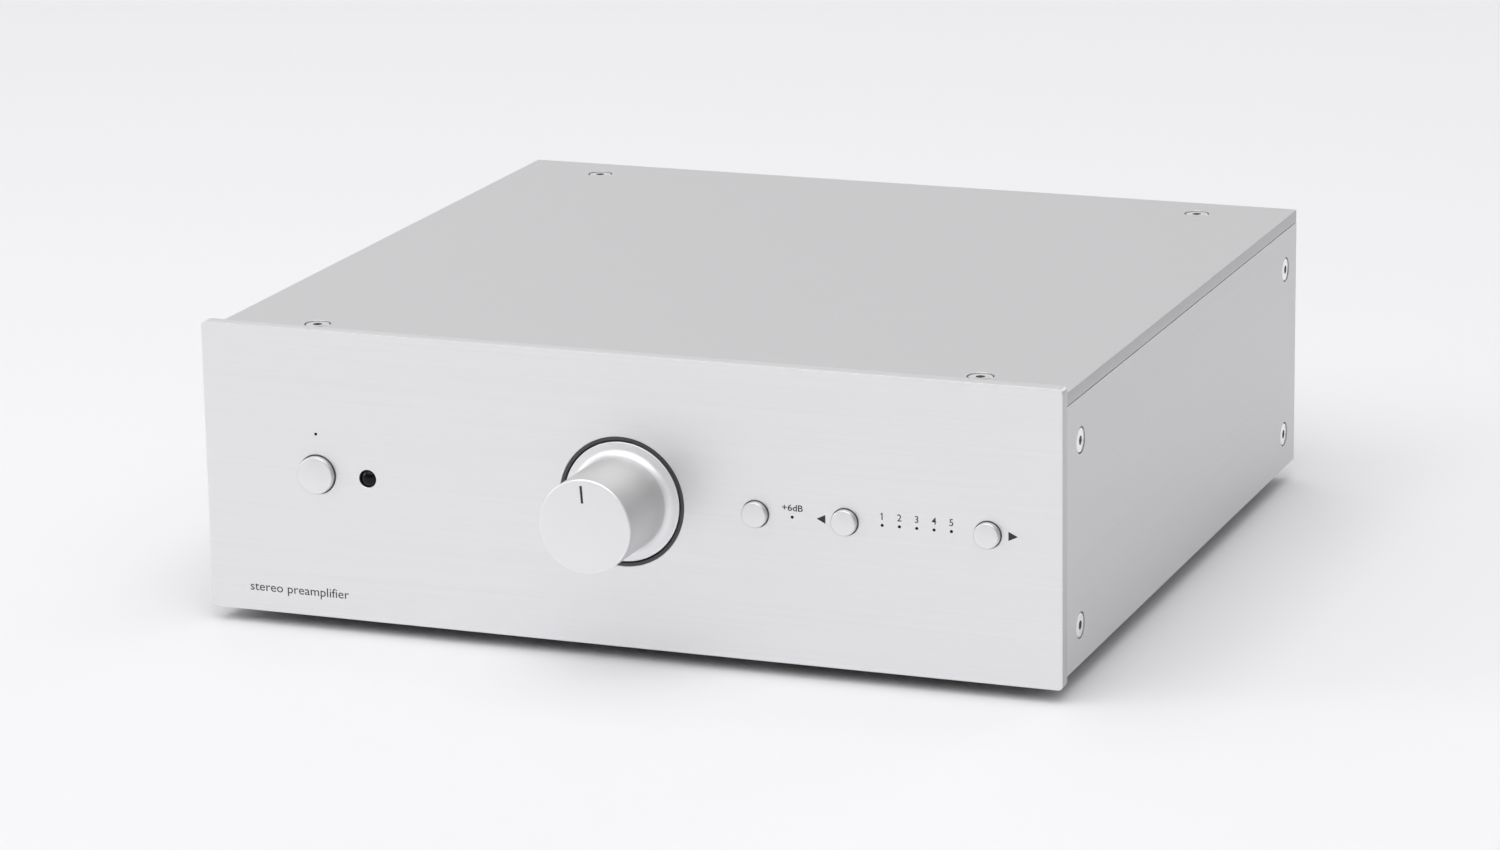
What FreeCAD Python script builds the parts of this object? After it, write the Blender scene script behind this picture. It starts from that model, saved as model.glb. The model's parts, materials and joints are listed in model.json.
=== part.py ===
"""A half-width stereo preamplifier as a parametric document, in millimetres.

Frame: X to the right seen from the front, Y towards the rear, Z up. The origin is the
middle of the bottom of the bounding box, so Z = 0 is the surface the feet stand on.
"""
import FreeCAD, Part
import math
import os

import Sketcher
from FreeCAD import Placement, Rotation, Vector

doc = FreeCAD.newDocument("stereo_preamplifier")
sheet = doc.addObject("Spreadsheet::Sheet", "Sizes")
NODES = []

ALONG_X = Rotation(Vector(0, 1, 0), 90)
ALONG_Y = Rotation(Vector(1, 0, 0), -90)
ALONG_Z = Rotation()
HEAD_REAR = Rotation(Vector(1, 0, 0), -90)
HEAD_DOWN = Rotation(Vector(1, 0, 0), 180)
HEAD_RIGHT = Rotation(Vector(0, 1, 0), 90)
HEAD_LEFT = Rotation(Vector(0, 1, 0), -90)
HALF_TURN = Rotation(Vector(0, 0, 1), 180)


# ---------------------------------------------------------------- sizes

class Size:
    """A number together with the sheet expression that gives it."""

    def __init__(self, number, text):
        self.number = number
        self.text = text

    def joined(self, sign, number, other):
        return Size(number, "({} {} {})".format(self.text, sign, other.text))

    def __add__(self, other):
        other = as_size(other)
        return self.joined("+", self.number + other.number, other)

    def __sub__(self, other):
        other = as_size(other)
        return self.joined("-", self.number - other.number, other)

    def __mul__(self, other):
        other = as_size(other)
        return self.joined("*", self.number * other.number, other)

    def __truediv__(self, other):
        other = as_size(other)
        return self.joined("/", self.number / other.number, other)

    def __radd__(self, other):
        return as_size(other) + self

    def __rsub__(self, other):
        return as_size(other) - self

    def __rmul__(self, other):
        return as_size(other) * self

    def __neg__(self):
        return as_size(0) - self


def as_size(value):
    return value if isinstance(value, Size) else Size(float(value), "({:.6g})".format(value))


DRIVING = {
    # case
    "panel_width": 206.0,
    "panel_height": 67.8,
    "panel_thick": 3.5,
    "panel_corner": 1.6,
    "panel_bevel": 0.1,
    "panel_drop": 1.6,          # how far the front panel hangs below the body
    "cover_step": 2.0,          # how far the cover lies below the panel's top edge
    "body_width": 204.8,
    "body_depth": 190.5,
    "seam": 0.5,                # gap between the front panel and the cover and base
    "cover_thick": 3.2,
    "cover_corner": 0.4,
    "plate_bevel": 0.12,
    "wall_thick": 3.5,
    "base_thick": 2.0,
    "rear_thick": 2.5,
    "rear_inset": 1.0,
    "rail_deep": 16.0,
    "rail_high": 13.8,
    # feet
    "foot_high": 5.0,
    "foot_top_radius": 8.5,
    "foot_low_radius": 7.5,
    "foot_bore": 1.6,
    "foot_recess_radius": 3.6,
    "foot_recess_deep": 2.4,
    "foot_x": 84.0,
    "foot_front_y": -62.0,
    "foot_rear_y": 74.0,
    # screws, M3
    "shank_radius": 1.5,
    "screw_hole_radius": 1.6,
    "csk_head_radius": 2.75,
    "csk_head_deep": 1.4,
    "csk_rim": 0.15,
    "csk_sink": 0.12,           # countersunk heads lie this far below the plate's face
    "csk_mouth": 6.2,
    "csk_length": 9.6,
    "pan_head_radius": 2.75,
    "pan_head_deep": 1.8,
    "short_screw": 6.0,
    "long_screw": 18.0,
    "hex_key": 1.0,             # inner radius of the 2 mm socket
    "hex_deep": 1.2,
    "cover_screw_x": 80.0,
    "cover_screw_front": 9.9,   # from the panel's back
    "cover_screw_rear": 11.6,   # from the body's rear edge
    "side_screw_front": 11.65,
    "side_screw_rear": 9.8,
    "side_screw_low": 13.9,
    "side_screw_high": 56.05,
    "panel_screw_inner": 50.0,
    "panel_screw_outer": 86.0,
    "panel_screw_bite": 2.3,
    "base_screw_inner": 30.0,
    "base_screw_outer": 88.0,
    # volume control
    "knob_reach": 21.5,
    "knob_radius": 10.85,
    "knob_round": 0.45,
    "knob_fillet": 1.3,
    "flange_radius": 13.85,
    "flange_thick": 2.6,
    "hub_radius": 8.0,
    "hub_long": 4.4,
    "knob_bore": 3.03,
    "knob_bore_deep": 14.0,
    "pointer_outer": 9.4,
    "pointer_inner": 5.4,
    "pointer_wide": 0.45,
    "pointer_deep": 0.2,
    "grub_radius": 1.45,
    "grub_bore": 1.5,
    "grub_long": 5.0,
    "grub_from_face": 5.0,
    "ring_inner": 14.15,
    "ring_outer": 14.95,
    "ring_sink": 0.05,
    "ring_fit": 0.02,
    "shaft_radius": 3.0,
    "shaft_bore": 3.05,
    "shaft_behind": 36.0,       # the shaft's end, behind the panel's face
    "bushing_radius": 4.5,
    "bushing_front": 14.0,
    "nut_radius": 6.9,
    "nut_thick": 2.2,
    "pot_width": 27.0,
    "pot_deep": 17.0,
    "gearbox_deep": 9.0,
    "motor_radius": 10.0,
    "motor_long": 24.0,
    "bracket_wide": 44.0,
    "bracket_thick": 1.5,
    "bracket_margin": 6.0,
    # buttons
    "power_x": -75.0,
    "gain_x": 32.0,
    "down_x": 53.0,
    "up_x": 86.0,
    "power_cap": 4.4,
    "power_hole": 4.75,
    "small_cap": 2.95,
    "small_hole": 3.25,
    "cap_reach": 1.5,
    "cap_round": 0.3,
    "cap_behind": 5.2,          # back of the cap's collar, behind the panel's face
    "collar_proud": 1.1,
    "collar_gap": 0.2,
    "stem_radius": 1.9,
    "plunger_radius": 1.7,
    "plunger_front": 7.2,
    "plunger_back": 9.8,
    "plunger_well": 1.78,
    "well_back": 10.6,
    "switch_front": 8.5,
    "switch_wide": 6.0,
    # lights and the infrared window
    "pipe_radius": 0.3,
    "pipe_hole": 0.33,
    "pipe_body": 1.2,
    "power_light_up": 9.5,
    "gain_light_x": 40.63,
    "first_light_x": 61.66,
    "light_pitch": 4.0,
    "window_x": -62.35,
    "window_radius": 2.1,
    "window_dome": 0.3,
    "window_lip": 3.0,
    # boards
    "board_thick": 1.6,
    "front_board_y": 12.0,      # front face, behind the panel's face
    "front_board_half": 94.0,
    "front_board_high": 28.4,
    "standoff_long": 8.0,
    "standoff_radius": 2.8,
    "standoff_stud": 1.8,
    "main_board_half": 86.0,
    "main_board_front": 24.0,   # behind the panel's face
    "main_board_rear_gap": 2.0,
    "main_hole_inset_x": 16.0,
    "main_hole_inset_y": 5.0,
    # rear sockets
    "socket_reach": 9.5,
    "shell_radius": 4.15,
    "shell_bore": 3.5,
    "shell_lip": 5.6,
    "shell_lip_thick": 1.8,
    "shell_hole": 4.3,
    "contact_radius": 2.0,
    "contact_bore": 1.62,
    "first_socket_x": -80.0,
    "socket_pitch": 18.0,
    "socket_rise": 7.0,         # each row above or below the mid line
    "socket_block_wide": 13.0,
    "socket_block_high": 28.0,
    "socket_block_deep": 12.0,
    "trigger_x": 55.0,
    "trigger_bore": 1.8,
    "trigger_collar": 3.9,
    "trigger_reach": 2.5,
    "inlet_x": 78.0,
    "inlet_face": 4.4,
    "inlet_bore": 2.8,
    "inlet_pin": 1.0,
    "inlet_reach": 1.0,
}

COLUMNS = 7
LIGHTS = 5


def fill_sheet():
    """Write the driving numbers into the sheet, one row each, and return them by name."""
    sizes = {}
    for row, (alias, number) in enumerate(DRIVING.items(), start=1):
        sheet.set("A{}".format(row), alias)
        sheet.set("B{}".format(row), str(number))
        sheet.setAlias("B{}".format(row), alias)
        sizes[alias] = Size(number, "Sizes." + alias)
    doc.recompute()
    return sizes


class Sizes:
    """The driving sizes and those worked out from them, as attributes."""

    def __init__(self, driving):
        self.__dict__.update(driving)
        self.rear_y = (self.knob_reach + self.panel_thick + self.body_depth
                       - self.rear_inset + self.socket_reach) / 2
        self.face_y = self.knob_reach - self.rear_y
        self.panel_back = self.face_y + self.panel_thick
        self.plate_front = self.panel_back + self.seam
        self.body_back = self.panel_back + self.body_depth
        self.rear_face = self.body_back - self.rear_inset
        self.rear_inner = self.rear_face - self.rear_thick
        self.panel_low = self.foot_high - self.panel_drop
        self.line_z = self.panel_low + self.panel_height / 2
        self.cover_top = self.panel_low + self.panel_height - self.cover_step
        self.cover_low = self.cover_top - self.cover_thick
        self.wall_inner = self.body_width / 2 - self.wall_thick
        self.wall_high = self.cover_low - self.foot_high
        self.base_top = self.foot_high + self.base_thick
        self.front_rail_back = self.panel_back + self.rail_deep
        self.rear_rail_front = self.rear_inner - self.rail_deep
        self.upper_rail_low = self.cover_low - self.rail_high
        self.board_y = self.face_y + self.front_board_y
        self.board_back = self.board_y + self.board_thick
        self.main_board_z = self.base_top + self.standoff_long
        self.main_top = self.main_board_z + self.board_thick
        self.main_front = self.face_y + self.main_board_front
        self.main_rear = self.rear_rail_front - self.main_board_rear_gap
        self.bracket_back = self.front_rail_back + self.bracket_thick
        self.pot_back = self.bracket_back + self.pot_deep
        self.cover_screws_y = (self.panel_back + self.cover_screw_front,
                               self.body_back - self.cover_screw_rear)
        self.side_screws_y = (self.panel_back + self.side_screw_front,
                              self.body_back - self.side_screw_rear)


S = Sizes(fill_sheet())


# ---------------------------------------------------------------- building helpers

def bind(thing, **sizes):
    """Bind properties of a document object to sizes."""
    for prop, size in sizes.items():
        thing.setExpression(prop, as_size(size).text)
    return thing


def put(thing, place, turn=None):
    """Place an object: its turn is fixed and each coordinate is bound."""
    if turn is not None:
        thing.Placement = Placement(Vector(), turn)
    for axis, size in zip("xyz", place):
        thing.setExpression("Placement.Base." + axis, as_size(size).text)
    return thing


def keep(thing, label):
    """Make an object a node of its own."""
    thing.Label = label
    NODES.append(thing)
    return thing


def block(name, low, size):
    """A box from its lowest corner."""
    box = put(doc.addObject("Part::Box", name), low)
    return bind(box, Length=size[0], Width=size[1], Height=size[2])


def rod(name, start, radius, length, turn=ALONG_Z):
    """A cylinder from the middle of its first end."""
    cylinder = put(doc.addObject("Part::Cylinder", name), start, turn)
    return bind(cylinder, Radius=radius, Height=length)


def hexagon(name, start, radius, length, turn=ALONG_Z):
    prism = put(doc.addObject("Part::Prism", name), start, turn)
    prism.Polygon = 6
    return bind(prism, Circumradius=radius, Height=length)


def cut(name, base, *tools):
    """The base without its tools."""
    result = doc.addObject("Part::Cut", name)
    result.Base = base
    result.Tool = tools[0] if len(tools) == 1 else fuse(name + "_tools", *tools)
    return result


def fuse(name, *shapes):
    result = doc.addObject("Part::MultiFuse", name)
    result.Shapes = list(shapes)
    return result


def group(label, shapes):
    """Several separate solids in one node."""
    result = doc.addObject("Part::Compound", label)
    result.Links = list(shapes)
    return keep(result, label)


def copies(label, master, places):
    """A node of linked copies of one master, each with its own place and turn."""
    links = []
    for number, (place, turn) in enumerate(places, start=1):
        link = doc.addObject("App::Link", "{}_{}".format(label, number))
        link.LinkedObject = master
        links.append(put(link, place, turn))
    return group(label, links)


def new_body(label, place=(0, 0, 0), turn=None):
    return put(doc.addObject("PartDesign::Body", label), place, turn)


def new_sketch(body, role, name, lift=None):
    """A sketch on one of the body's own origin planes, lifted along its normal."""
    sketch = body.newObject("Sketcher::SketchObject", body.Name + "_" + name)
    plane = [item for item in body.Origin.OriginFeatures if item.Role == role][0]
    sketch.AttachmentSupport = [(plane, "")]
    sketch.MapMode = "FlatFace"
    if lift is not None:
        sketch.setExpression(".AttachmentOffset.Base.z", as_size(lift).text)
    return sketch


def fix_point(sketch, curve, end, point):
    """Hold one point of a curve at bound distances from the sketch's origin."""
    for kind, size in zip(("DistanceX", "DistanceY"), point):
        size = as_size(size)
        index = sketch.addConstraint(Sketcher.Constraint(kind, -1, 1, curve, end, size.number))
        sketch.setExpression("Constraints[{}]".format(index), size.text)


def polygon(sketch, corners):
    """A closed outline whose corners are bound to the sheet."""
    corners = [(as_size(x), as_size(y)) for x, y in corners]
    spots = [Vector(x.number, y.number, 0) for x, y in corners]
    count = len(spots)
    for index, spot in enumerate(spots):
        sketch.addGeometry(Part.LineSegment(spot, spots[(index + 1) % count]))
    for index in range(count):
        joint = Sketcher.Constraint("Coincident", index, 2, (index + 1) % count, 1)
        sketch.addConstraint(joint)
    for index, corner in enumerate(corners):
        fix_point(sketch, index, 1, corner)


def rectangle(sketch, half_wide, low, high):
    polygon(sketch, [(-half_wide, low), (half_wide, low), (half_wide, high), (-half_wide, high)])


def circles(sketch, spots):
    """Circles, each given as x, y and radius."""
    for index, (x, y, radius) in enumerate(spots):
        x, y, radius = as_size(x), as_size(y), as_size(radius)
        middle = Vector(x.number, y.number, 0)
        sketch.addGeometry(Part.Circle(middle, Vector(0, 0, 1), radius.number))
        fix_point(sketch, index, 3, (x, y))
        number = sketch.addConstraint(Sketcher.Constraint("Radius", index, radius.number))
        sketch.setExpression("Constraints[{}]".format(number), radius.text)


def pad(body, sketch, length, reverse=False):
    feature = body.newObject("PartDesign::Pad", body.Name + "_pad")
    feature.Profile = sketch
    feature.Reversed = reverse
    return bind(feature, Length=length)


def pocket(body, sketch, name, depth, reverse=False):
    """Cut a sketch into the body, and make sure that it took material away."""
    doc.recompute()
    before = body.Shape.Volume
    feature = body.newObject("PartDesign::Pocket", body.Name + "_" + name)
    feature.Profile = sketch
    feature.Reversed = reverse
    bind(feature, Length=depth)
    doc.recompute()
    if body.Shape.Volume >= before:
        raise RuntimeError(feature.Name + " cuts nothing")
    return feature


def countersinks(body, sketch):
    """Through holes with a 90 degree countersink at the sketch's side."""
    doc.recompute()
    before = body.Shape.Volume
    hole = body.newObject("PartDesign::Hole", body.Name + "_countersinks")
    hole.Profile = sketch
    doc.recompute()
    hole.DepthType = "ThroughAll"
    hole.HoleCutType = "Countersink"
    hole.HoleCutCountersinkAngle = 90
    bind(hole, Diameter=S.screw_hole_radius * 2, HoleCutDiameter=S.csk_mouth)
    doc.recompute()
    if body.Shape.Volume >= before:
        raise RuntimeError(hole.Name + " cuts nothing")


def turned(body, corners, upright=False):
    """Turn an outline of (radius, height) corners about Y, or about Z when upright."""
    sketch = new_sketch(body, "XZ_Plane" if upright else "XY_Plane", "outline")
    polygon(sketch, corners)
    feature = body.newObject("PartDesign::Revolution", body.Name + "_turned")
    feature.Profile = sketch
    feature.ReferenceAxis = (sketch, ["V_Axis"])
    feature.Angle = 360
    doc.recompute()
    return feature


def edge_names(shape, wanted):
    """Names of the edges whose middle point satisfies a test."""
    names = []
    for index, edge in enumerate(shape.Edges, start=1):
        middle = edge.valueAt((edge.FirstParameter + edge.LastParameter) / 2)
        if wanted(edge, middle):
            names.append("Edge{}".format(index))
    return names


def dress(body, kind, name, base, wanted, **sizes):
    """A Fillet or Chamfer feature on the edges of its base that pass a test."""
    doc.recompute()
    feature = body.newObject("PartDesign::" + kind, body.Name + "_" + name)
    feature.Base = (base, edge_names(base.Shape, wanted))
    bind(feature, **sizes)
    doc.recompute()
    return feature


def near(value, size):
    return abs(value - as_size(size).number) < 1e-4


# ---------------------------------------------------------------- screws

def csk_master():
    """Countersunk M3 screw with a 2 mm hexagon socket, its head's face at Z = 0."""
    body = new_body("csk_master")
    turned(body, [(0, 0), (S.csk_head_radius, 0), (S.csk_head_radius, -S.csk_rim),
                  (S.shank_radius, -S.csk_head_deep), (S.shank_radius, -S.csk_length),
                  (0, -S.csk_length)], upright=True)
    sketch = new_sketch(body, "XY_Plane", "socket")
    reach = S.hex_key * (2 / math.sqrt(3))
    polygon(sketch, [(reach * math.cos(math.radians(60 * step)),
                      reach * math.sin(math.radians(60 * step))) for step in range(6)])
    pocket(body, sketch, "socket_cut", S.hex_deep)
    return body


def pan_master(name, length):
    """Pan-head M3 screw with a hexagon socket: Z = 0 is under its head."""
    head = rod(name + "_head", (0, 0, 0), S.pan_head_radius, S.pan_head_deep)
    shank = rod(name + "_shank", (0, 0, -length), S.shank_radius, length)
    socket = hexagon(name + "_socket", (0, 0, S.pan_head_deep - S.hex_deep), S.hex_key * 1.15,
                     S.hex_deep)
    return cut(name, fuse(name + "_solid", head, shank), socket)


def both_signs(size):
    return (-size, size)


def cover_spots():
    return [(x, y) for x in both_signs(S.cover_screw_x) for y in S.cover_screws_y]


def side_spots():
    return [(y, z) for y in S.side_screws_y for z in (S.side_screw_low, S.side_screw_high)]


def panel_spots():
    across = both_signs(S.panel_screw_inner) + both_signs(S.panel_screw_outer)
    return [(x, z) for x in across for z in (S.side_screw_low, S.side_screw_high)]


def rear_spots():
    across = (-S.base_screw_outer, as_size(0), S.base_screw_outer)
    return [(x, z) for x in across for z in (S.side_screw_low, S.side_screw_high)]


def base_spots():
    across = both_signs(S.base_screw_inner) + both_signs(S.base_screw_outer)
    middles = (S.panel_back + S.rail_deep / 2, S.rear_inner - S.rail_deep / 2)
    return [(x, y) for x in across for y in middles]


def foot_spots():
    return [(x, y) for x in both_signs(S.foot_x) for y in (S.foot_front_y, S.foot_rear_y)]


def main_standoff_spots():
    across = both_signs(S.main_board_half - S.main_hole_inset_x)
    along = (S.main_front + S.main_hole_inset_y, (S.main_front + S.main_rear) / 2,
             S.main_rear - S.main_hole_inset_y)
    return [(x, y) for x in across for y in along]


def front_standoff_spots():
    high = S.front_board_high / 2 - 4.2
    return [(-86, high), (-30, -high), (22, high), (70, -high)]


def bracket_spots():
    return [(x, z) for x in both_signs(S.bracket_wide / 2 - 5)
            for z in (S.side_screw_low, S.side_screw_high)]


def make_screws():
    csk = csk_master()
    board = pan_master("board_screw_master", S.short_screw)
    long = pan_master("long_screw_master", S.long_screw)
    half = S.body_width / 2 - S.csk_sink
    case = [((x, y, S.cover_top - S.csk_sink), ALONG_Z) for x, y in cover_spots()]
    case += [((side * half, y, z), turn) for side, turn in ((1, HEAD_RIGHT), (-1, HEAD_LEFT))
             for y, z in side_spots()]
    case += [((x, S.rear_face - S.csk_sink, z), HEAD_REAR) for x, z in rear_spots()]
    copies("case_screws", csk, case)
    copies("front_panel_screws", long,
           [((x, S.front_rail_back, z), HEAD_REAR) for x, z in panel_spots()])
    copies("bottom_plate_screws", board,
           [((x, y, S.foot_high), HEAD_DOWN) for x, y in base_spots()])
    copies("foot_screws", board,
           [((x, y, S.foot_recess_deep), HEAD_DOWN) for x, y in foot_spots()])
    boards = [((x, y, S.main_top), ALONG_Z) for x, y in main_standoff_spots()]
    boards += [((x, S.board_back, S.line_z + z), HEAD_REAR) for x, z in front_standoff_spots()]
    boards += [((x, S.bracket_back, z), HEAD_REAR) for x, z in bracket_spots()]
    copies("board_screws", board, boards)


# ---------------------------------------------------------------- case plates

def make_front_panel():
    """The 4 mm panel. Its sketches are centred on the line of the controls."""
    body = new_body("front_panel", (0, S.face_y, S.line_z))
    outline = new_sketch(body, "XZ_Plane", "outline")
    half_high = S.panel_height / 2
    rectangle(outline, S.panel_width / 2, -half_high, half_high)
    plate = pad(body, outline, S.panel_thick, reverse=True)
    corners = dress(body, "Fillet", "corners", plate,
                    lambda edge, at: near(at.y, S.panel_thick / 2), Radius=S.panel_corner)
    dress(body, "Chamfer", "bevel", corners, lambda edge, at: near(at.y, 0), Size=S.panel_bevel)
    through = new_sketch(body, "XZ_Plane", "openings")
    circles(through, panel_openings())
    pocket(body, through, "openings_cut", S.panel_thick)
    blind = new_sketch(body, "XZ_Plane", "threads", lift=-S.panel_thick)
    taps = [(x, z - S.line_z, S.shank_radius) for x, z in panel_spots()]
    taps += [(x, z, S.shank_radius) for x, z in front_standoff_spots()]
    circles(blind, taps)
    pocket(body, blind, "threads_cut", S.panel_screw_bite, reverse=True)
    keep(body, "front_panel")


def panel_openings():
    """Every hole through the front panel: x, height above the control line, radius."""
    holes = [(0, 0, S.ring_outer), (S.power_x, 0, S.power_hole)]
    holes += [(x, 0, S.small_hole) for x in (S.gain_x, S.down_x, S.up_x)]
    holes.append((S.window_x, 0, S.window_radius))
    holes += [(x, up, S.pipe_hole) for x, up in light_spots()]
    return holes


def light_spots():
    spots = [(S.power_x, S.power_light_up), (S.gain_light_x, as_size(0))]
    spots += [(S.first_light_x + S.light_pitch * step, as_size(0)) for step in range(LIGHTS)]
    return spots


def make_top_cover():
    long = S.body_back - S.plate_front
    body = new_body("top_cover", (0, S.plate_front, S.cover_low))
    outline = new_sketch(body, "XY_Plane", "outline")
    rectangle(outline, S.body_width / 2, as_size(0), long)
    plate = pad(body, outline, S.cover_thick)
    corners = dress(body, "Fillet", "corners", plate,
                    lambda edge, at: near(at.z, S.cover_thick / 2), Radius=S.cover_corner)
    dress(body, "Chamfer", "bevel", corners,
          lambda edge, at: near(at.z, S.cover_thick), Size=S.plate_bevel)
    holes = new_sketch(body, "XY_Plane", "holes", lift=S.cover_thick)
    circles(holes, [(x, y - S.plate_front, S.screw_hole_radius) for x, y in cover_spots()])
    countersinks(body, holes)
    keep(body, "top_cover")


def make_side_panel(label, side):
    """A side plate. The left one is built like the right one and turned half round."""
    middle = (S.panel_back + S.body_back) / 2
    turn = ALONG_Z if side > 0 else HALF_TURN
    body = new_body(label, (side * S.wall_inner, middle, S.foot_high), turn)
    outline = new_sketch(body, "YZ_Plane", "outline")
    rectangle(outline, (S.body_back - S.panel_back) / 2, as_size(0), S.wall_high)
    plate = pad(body, outline, S.wall_thick)
    dress(body, "Chamfer", "bevel", plate,
          lambda edge, at: near(at.x, S.wall_thick) and not near(at.z, S.wall_high),
          Size=S.plate_bevel)
    holes = new_sketch(body, "YZ_Plane", "holes", lift=S.wall_thick)
    circles(holes, [(side * (y - middle), z - S.foot_high, S.screw_hole_radius)
                    for y, z in side_spots()])
    countersinks(body, holes)
    keep(body, label)


def make_bottom_plate():
    body = new_body("bottom_plate", (0, 0, S.foot_high))
    outline = new_sketch(body, "XY_Plane", "outline")
    rectangle(outline, S.wall_inner, S.plate_front, S.rear_inner)
    pad(body, outline, S.base_thick)
    holes = new_sketch(body, "XY_Plane", "holes", lift=S.base_thick)
    spots = [(x, y, S.screw_hole_radius)
             for x, y in base_spots() + foot_spots() + main_standoff_spots()]
    circles(holes, spots)
    pocket(body, holes, "holes_cut", S.base_thick)
    keep(body, "bottom_plate")


def column_x():
    return [S.first_socket_x + S.socket_pitch * step for step in range(COLUMNS)]


def socket_spots():
    """Where the RCA sockets are: x and z, the upper (left channel) row first."""
    return [(x, S.line_z + sign * S.socket_rise) for sign in (1, -1) for x in column_x()]


def make_rear_panel():
    """Built facing forwards and turned half round, so its sketches are seen from behind."""
    body = new_body("rear_panel", (0, S.rear_face, 0), HALF_TURN)
    outline = new_sketch(body, "XZ_Plane", "outline")
    rectangle(outline, S.wall_inner, S.foot_high, S.cover_low)
    pad(body, outline, S.rear_thick, reverse=True)
    openings = new_sketch(body, "XZ_Plane", "openings")
    spots = [(-x, z, S.shell_hole) for x, z in socket_spots()]
    spots.append((-S.trigger_x, S.line_z, S.trigger_collar))
    spots.append((-S.inlet_x, S.line_z, S.inlet_face))
    circles(openings, spots)
    pocket(body, openings, "openings_cut", S.rear_thick)
    holes = new_sketch(body, "XZ_Plane", "holes")
    circles(holes, [(-x, z, S.screw_hole_radius) for x, z in rear_spots()])
    countersinks(body, holes)
    keep(body, "rear_panel")


def make_rail(label, low_y, low_z, drills):
    """A square cross rail between the side plates, drilled for its screws."""
    bar = block(label + "_bar", (-S.wall_inner, low_y, low_z),
                (S.wall_inner * 2, S.rail_deep, S.rail_high))
    ends = []
    side_y = S.side_screws_y[0] if low_y is S.panel_back else S.side_screws_y[1]
    side_z = S.side_screw_low if low_z is S.base_top else S.side_screw_high
    for side in (-1, 1):
        start = -S.wall_inner if side < 0 else S.wall_inner - S.csk_length
        name = "{}_end_{}".format(label, "left" if side < 0 else "right")
        ends.append(rod(name, (start, side_y, side_z), S.shank_radius, S.csk_length, ALONG_X))
    keep(cut(label, bar, *ends, *drills), label)


def drills_along_y(label, spots, low_y):
    return [rod("{}_y{}".format(label, number), (x, low_y, z), S.shank_radius, S.rail_deep,
                ALONG_Y) for number, (x, z) in enumerate(spots)]


def drills_along_z(label, spots, low_z, length):
    return [rod("{}_z{}".format(label, number), (x, y, low_z), S.shank_radius, length)
            for number, (x, y) in enumerate(spots)]


def make_rails():
    base_front, base_rear = base_spots()[0::2], base_spots()[1::2]
    cover_front, cover_rear = cover_spots()[0::2], cover_spots()[1::2]
    panel_low, panel_high = panel_spots()[0::2], panel_spots()[1::2]
    bracket_low, bracket_high = bracket_spots()[0::2], bracket_spots()[1::2]
    rear_low, rear_high = rear_spots()[0::2], rear_spots()[1::2]
    into_base = S.short_screw
    into_cover = S.csk_length
    cover_start = S.cover_low - into_cover
    front_y, rear_y = S.panel_back, S.rear_rail_front
    make_rail("front_lower_rail", front_y, S.base_top,
              drills_along_y("front_lower", panel_low + bracket_low, front_y)
              + drills_along_z("front_lower", base_front, S.base_top, into_base))
    make_rail("front_upper_rail", front_y, S.upper_rail_low,
              drills_along_y("front_upper", panel_high + bracket_high, front_y)
              + drills_along_z("front_upper", cover_front, cover_start, into_cover))
    make_rail("rear_lower_rail", rear_y, S.base_top,
              drills_along_y("rear_lower", rear_low, rear_y)
              + drills_along_z("rear_lower", base_rear, S.base_top, into_base))
    make_rail("rear_upper_rail", rear_y, S.upper_rail_low,
              drills_along_y("rear_upper", rear_high, rear_y)
              + drills_along_z("rear_upper", cover_rear, cover_start, into_cover))


def make_feet():
    """Rubber feet with a recess for the screw's head, standing on Z = 0."""
    master = new_body("foot_master")
    turned(master, [(S.foot_bore, S.foot_recess_deep), (S.foot_recess_radius, S.foot_recess_deep),
                    (S.foot_recess_radius, 0), (S.foot_low_radius - 0.5, 0),
                    (S.foot_low_radius, 0.5), (S.foot_top_radius, S.foot_high),
                    (S.foot_bore, S.foot_high)], upright=True)
    copies("rubber_feet", master, [((x, y, 0), ALONG_Z) for x, y in foot_spots()])


# ---------------------------------------------------------------- volume control

def make_knob():
    """Turned knob: cylinder, fillet, flange and hub about its own axis, along Y."""
    body = new_body("volume_knob", (0, S.face_y, S.line_z))
    foot = S.flange_thick
    outline = [(S.knob_bore, foot + S.hub_long), (S.hub_radius, foot + S.hub_long),
               (S.hub_radius, foot), (S.flange_radius, foot), (S.flange_radius, 0),
               (S.knob_radius, 0), (S.knob_radius, -S.knob_reach), (0, -S.knob_reach),
               (0, foot + S.hub_long - S.knob_bore_deep),
               (S.knob_bore, foot + S.hub_long - S.knob_bore_deep)]
    turning = turned(body, outline)
    root = dress(body, "Fillet", "root", turning,
                 lambda edge, at: near(at.y, 0) and near(math.hypot(at.x, at.z), S.knob_radius),
                 Radius=S.knob_fillet)
    dress(body, "Fillet", "lip", root, lambda edge, at: near(at.y, -S.knob_reach)
          and near(math.hypot(at.x, at.z), S.knob_radius), Radius=S.knob_round)
    pointer = new_sketch(body, "XZ_Plane", "pointer", lift=S.knob_reach)
    rectangle(pointer, S.pointer_wide / 2, S.pointer_inner, S.pointer_outer)
    pocket(body, pointer, "pointer_cut", S.pointer_deep)
    tapped = new_sketch(body, "XY_Plane", "grub", lift=-S.knob_radius - 1)
    circles(tapped, [(0, -S.grub_from_face, S.grub_bore)])
    pocket(body, tapped, "grub_cut", S.knob_radius + 1, reverse=True)
    keep(body, "volume_knob")


def make_grub_screw():
    """Hexagon socket grub screw that holds the knob on its shaft, reached from below."""
    low = S.line_z - S.shaft_radius - S.grub_long
    y = S.face_y - S.grub_from_face
    stud = rod("grub_stud", (0, y, low), S.grub_radius, S.grub_long)
    socket = hexagon("grub_socket", (0, y, low), S.hex_key * 0.86, S.grub_long / 3)
    keep(cut("knob_grub_screw", stud, socket), "knob_grub_screw")


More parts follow.
